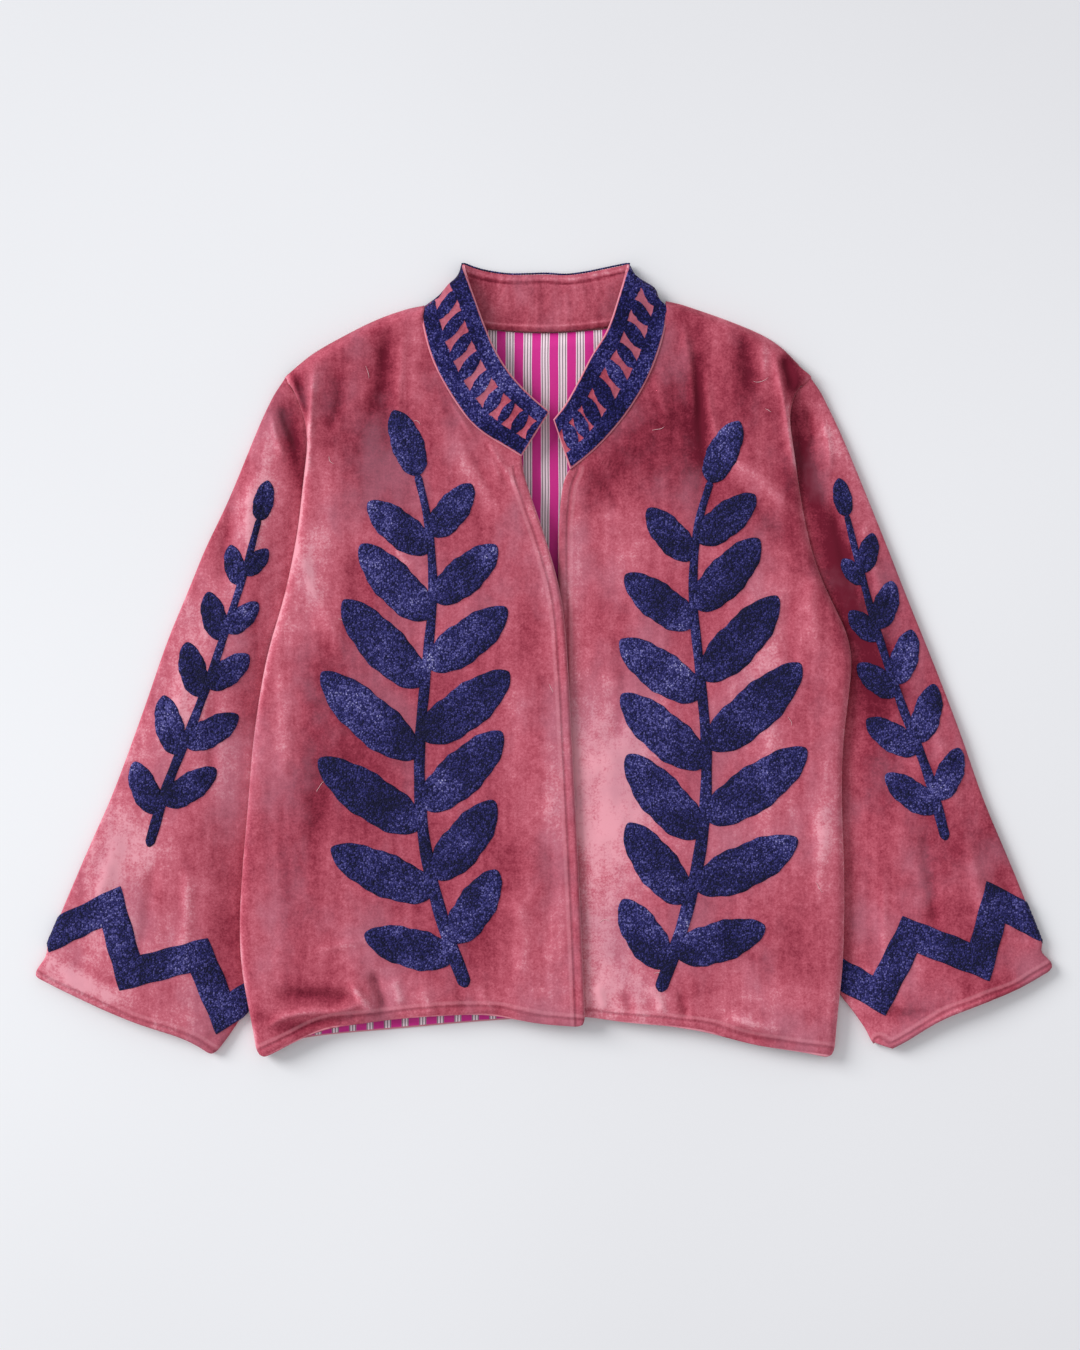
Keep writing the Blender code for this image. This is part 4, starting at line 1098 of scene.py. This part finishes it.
def zigzagPatch(ground, name, corners, width):
    # a band with mitred corners, laid in one strip
    c = np.array(corners, float)
    ways = np.diff(c, axis=0)
    ways /= np.linalg.norm(ways, axis=1)[:, None]
    sides = np.column_stack([-ways[:, 1], ways[:, 0]])
    mitres = [sides[0]]
    for a, b in zip(sides[:-1], sides[1:]):
        both = a + b
        both /= np.linalg.norm(both)
        mitres.append(both / max(both @ a, 0.35))
    mitres.append(sides[-1])
    lows, highs = [], []
    for k in range(len(c) - 1):
        count = max(3, int(np.linalg.norm(c[k + 1] - c[k]) / stitchForm["step"]))
        for share in np.linspace(0, 1, count, endpoint=k == len(c) - 2):
            middle = c[k] + (c[k + 1] - c[k]) * share
            out = width / 2 * (mitres[k] * (1 - share) + mitres[k + 1] * share)
            lows.append(middle - out)
            highs.append(middle + out)
    lows, highs = np.array(lows), np.array(highs)
    u = (acrossLeaf + 1) / 2
    plan = lows[:, None] + u[None, :, None] * (highs - lows)[:, None]
    wave = np.arange(len(lows)) * stitchForm["step"]
    plan += 0.35 * np.column_stack([np.sin(wave / 5), np.cos(wave / 4.1)])[:, None]
    inside = (1 - np.abs(acrossLeaf))[None] * width / 2 * np.ones((len(lows), 1))
    rise = pileUp(inside)
    rise[0] = rise[-1] = -stitchForm["sunk"]
    return stitchPatch(ground, name, plan, rise)


lintForm = {
    "width": 0.32, "rise": 0.25, "wall": 0.12,
    # each hair: start, heading, length, how much it curls
    "right": [(-158, 252, 70, 13, 60), (-118, 214, 20, 9, -80), (-176, 30, 120, 12, 50),
              (-62, 262, 200, 8, 40),
              (-205, -120, 85, 14, -60), (-132, -262, 10, 11, 90), (8, -30, 95, 9, 30),
              (-188, 176, 150, 10, -50)],
    "left": [(187, 252, -50, 16, 110), (198, 226, -35, 7, 20), (96, 206, 5, 13, 30), (172, 128, 60, 11, -70),
             (60, -236, 150, 12, 60), (222, -60, 80, 10, 50), (98, -282, 20, 9, -60),
             (250, -210, 100, 12, 40)],
}


def makeLint(hairs, name, ground, material):
    patches = []
    for k, (x, y, heading, length, curl) in enumerate(hairs):
        share = np.linspace(0, 1, 10)
        way = np.radians(heading + curl * share + 14 * np.sin(share * 5 + k))
        run = np.column_stack([np.cumsum(np.cos(way)), np.cumsum(np.sin(way))])
        line = np.array([x, y]) + run * length / 10
        side = np.column_stack([-np.sin(way), np.cos(way)])
        half = lintForm["width"] / 2 * np.sqrt(np.clip(4 * share * (1 - share), 0.15, 1))
        plan = line[:, None] + np.array([-1, 0, 1])[None, :, None] * half[:, None, None] * side[:, None]
        patches.append(stitchPatch(ground, f"{name}{k}", plan, np.full((10, 3), lintForm["rise"])))
    return joinStitches(patches, name, material, lintForm["wall"])


onFrontRight, onFrontLeft = Ground(frontRight), Ground(frontLeft)
onSleeveRight, onSleeveLeft = Ground(sleeveRight), Ground(sleeveLeft)


def stitchOn(ground, form, zigzag, name):
    # a branch, and the cuff's zigzag on a sleeve, as one piece
    patches = makeBranch(form, name + "Branch", ground)
    if zigzag:
        patches.append(zigzagPatch(ground, name + "Cuff", zigzag, zigzagForm["width"]))
    return joinStitches(patches, name, navyThread, stitchForm["wall"])


branchRight = stitchOn(onFrontRight, rightBranch, None, "leafBranchRight")
branchLeft = stitchOn(onFrontLeft, leftBranch, None, "leafBranchLeft")
sprigRight = stitchOn(onSleeveRight, rightSprig, zigzagForm["right"], "leafSprigAndCuffRight")
sprigLeft = stitchOn(onSleeveLeft, leftSprig, zigzagForm["left"], "leafSprigAndCuffLeft")
lintRight = makeLint(lintForm["right"], "lintRight", onFrontRight, paleLint)
lintLeft = makeLint(lintForm["left"], "lintLeft", onFrontLeft, paleLint)
print("jacket: chain stitch laid")


studio = {
    "lampPlace": (-3.0, 1.6, 1.9), "lampSpread": 30, "lampPower": 2.5, "world": 0.60,
    "paper": tone(248, 249, 252), "shade": tone(228, 228, 231),
    "acrossFade": 0.55, "endFade": 0.9, "fadeStart": 0.42,
}

clearSelection()
bpy.ops.mesh.primitive_plane_add(size=8, location=(0, 0, -0.0002))
floor = bpy.context.object
floor.name = "paleFloor"
paper, paperTree, paperShader, paperPlace = newMaterial("palePaper", 0.9, specular=0.1)
paperSplit = addNode(paperTree, "SeparateXYZ", {0: paperPlace})
paperX, paperY = paperSplit.outputs[0], paperSplit.outputs[1]
# painted shade: the floor darkens towards +X, away from the lamp, and towards both Y ends
paperLevel = sums(paperTree, "MULTIPLY_ADD", paperX, studio["acrossFade"], studio["fadeStart"])
paperEnds = sums(paperTree, "MULTIPLY", paperY, paperY)
paperLevel = sums(paperTree, "MULTIPLY_ADD", paperEnds, studio["endFade"], paperLevel)
paperDrift = sums(paperTree, "SUBTRACT", noiseAt(paperTree, paperPlace, 1.6, 1.0), 0.5)
paperLevel = sums(paperTree, "MULTIPLY_ADD", paperDrift, 0.5, paperLevel, clamp=True)
paperColour = mixColours(paperTree, paperLevel, studio["paper"], studio["shade"])
paperTree.links.new(paperColour, paperShader.inputs["Base Color"])
floor.data.materials.append(paper)

bpy.ops.object.light_add(type="SUN", location=studio["lampPlace"])
lamp = bpy.context.object
lamp.name = "windowLight"
lamp.data.angle = math.radians(studio["lampSpread"])
lamp.data.energy = studio["lampPower"]
lamp.rotation_euler = (-Vector(studio["lampPlace"])).to_track_quat("-Z", "Y").to_euler()

world = bpy.context.scene.world or bpy.data.worlds.new("room")
bpy.context.scene.world = world
world.use_nodes = True
world.node_tree.nodes["Background"].inputs["Color"].default_value = (0.97, 0.98, 1.0, 1)
world.node_tree.nodes["Background"].inputs["Strength"].default_value = studio["world"]

lens = {"place": (-0.0036, -0.0135, 2.881), "length": 85}
bpy.ops.object.camera_add(location=lens["place"], rotation=(0, 0, 0))
camera = bpy.context.object
camera.name = "photoCamera"
camera.data.lens = lens["length"]
camera.data.sensor_width = 36
camera.data.clip_end = 50
bpy.context.scene.camera = camera
bpy.context.scene.view_settings.view_transform = "Standard"
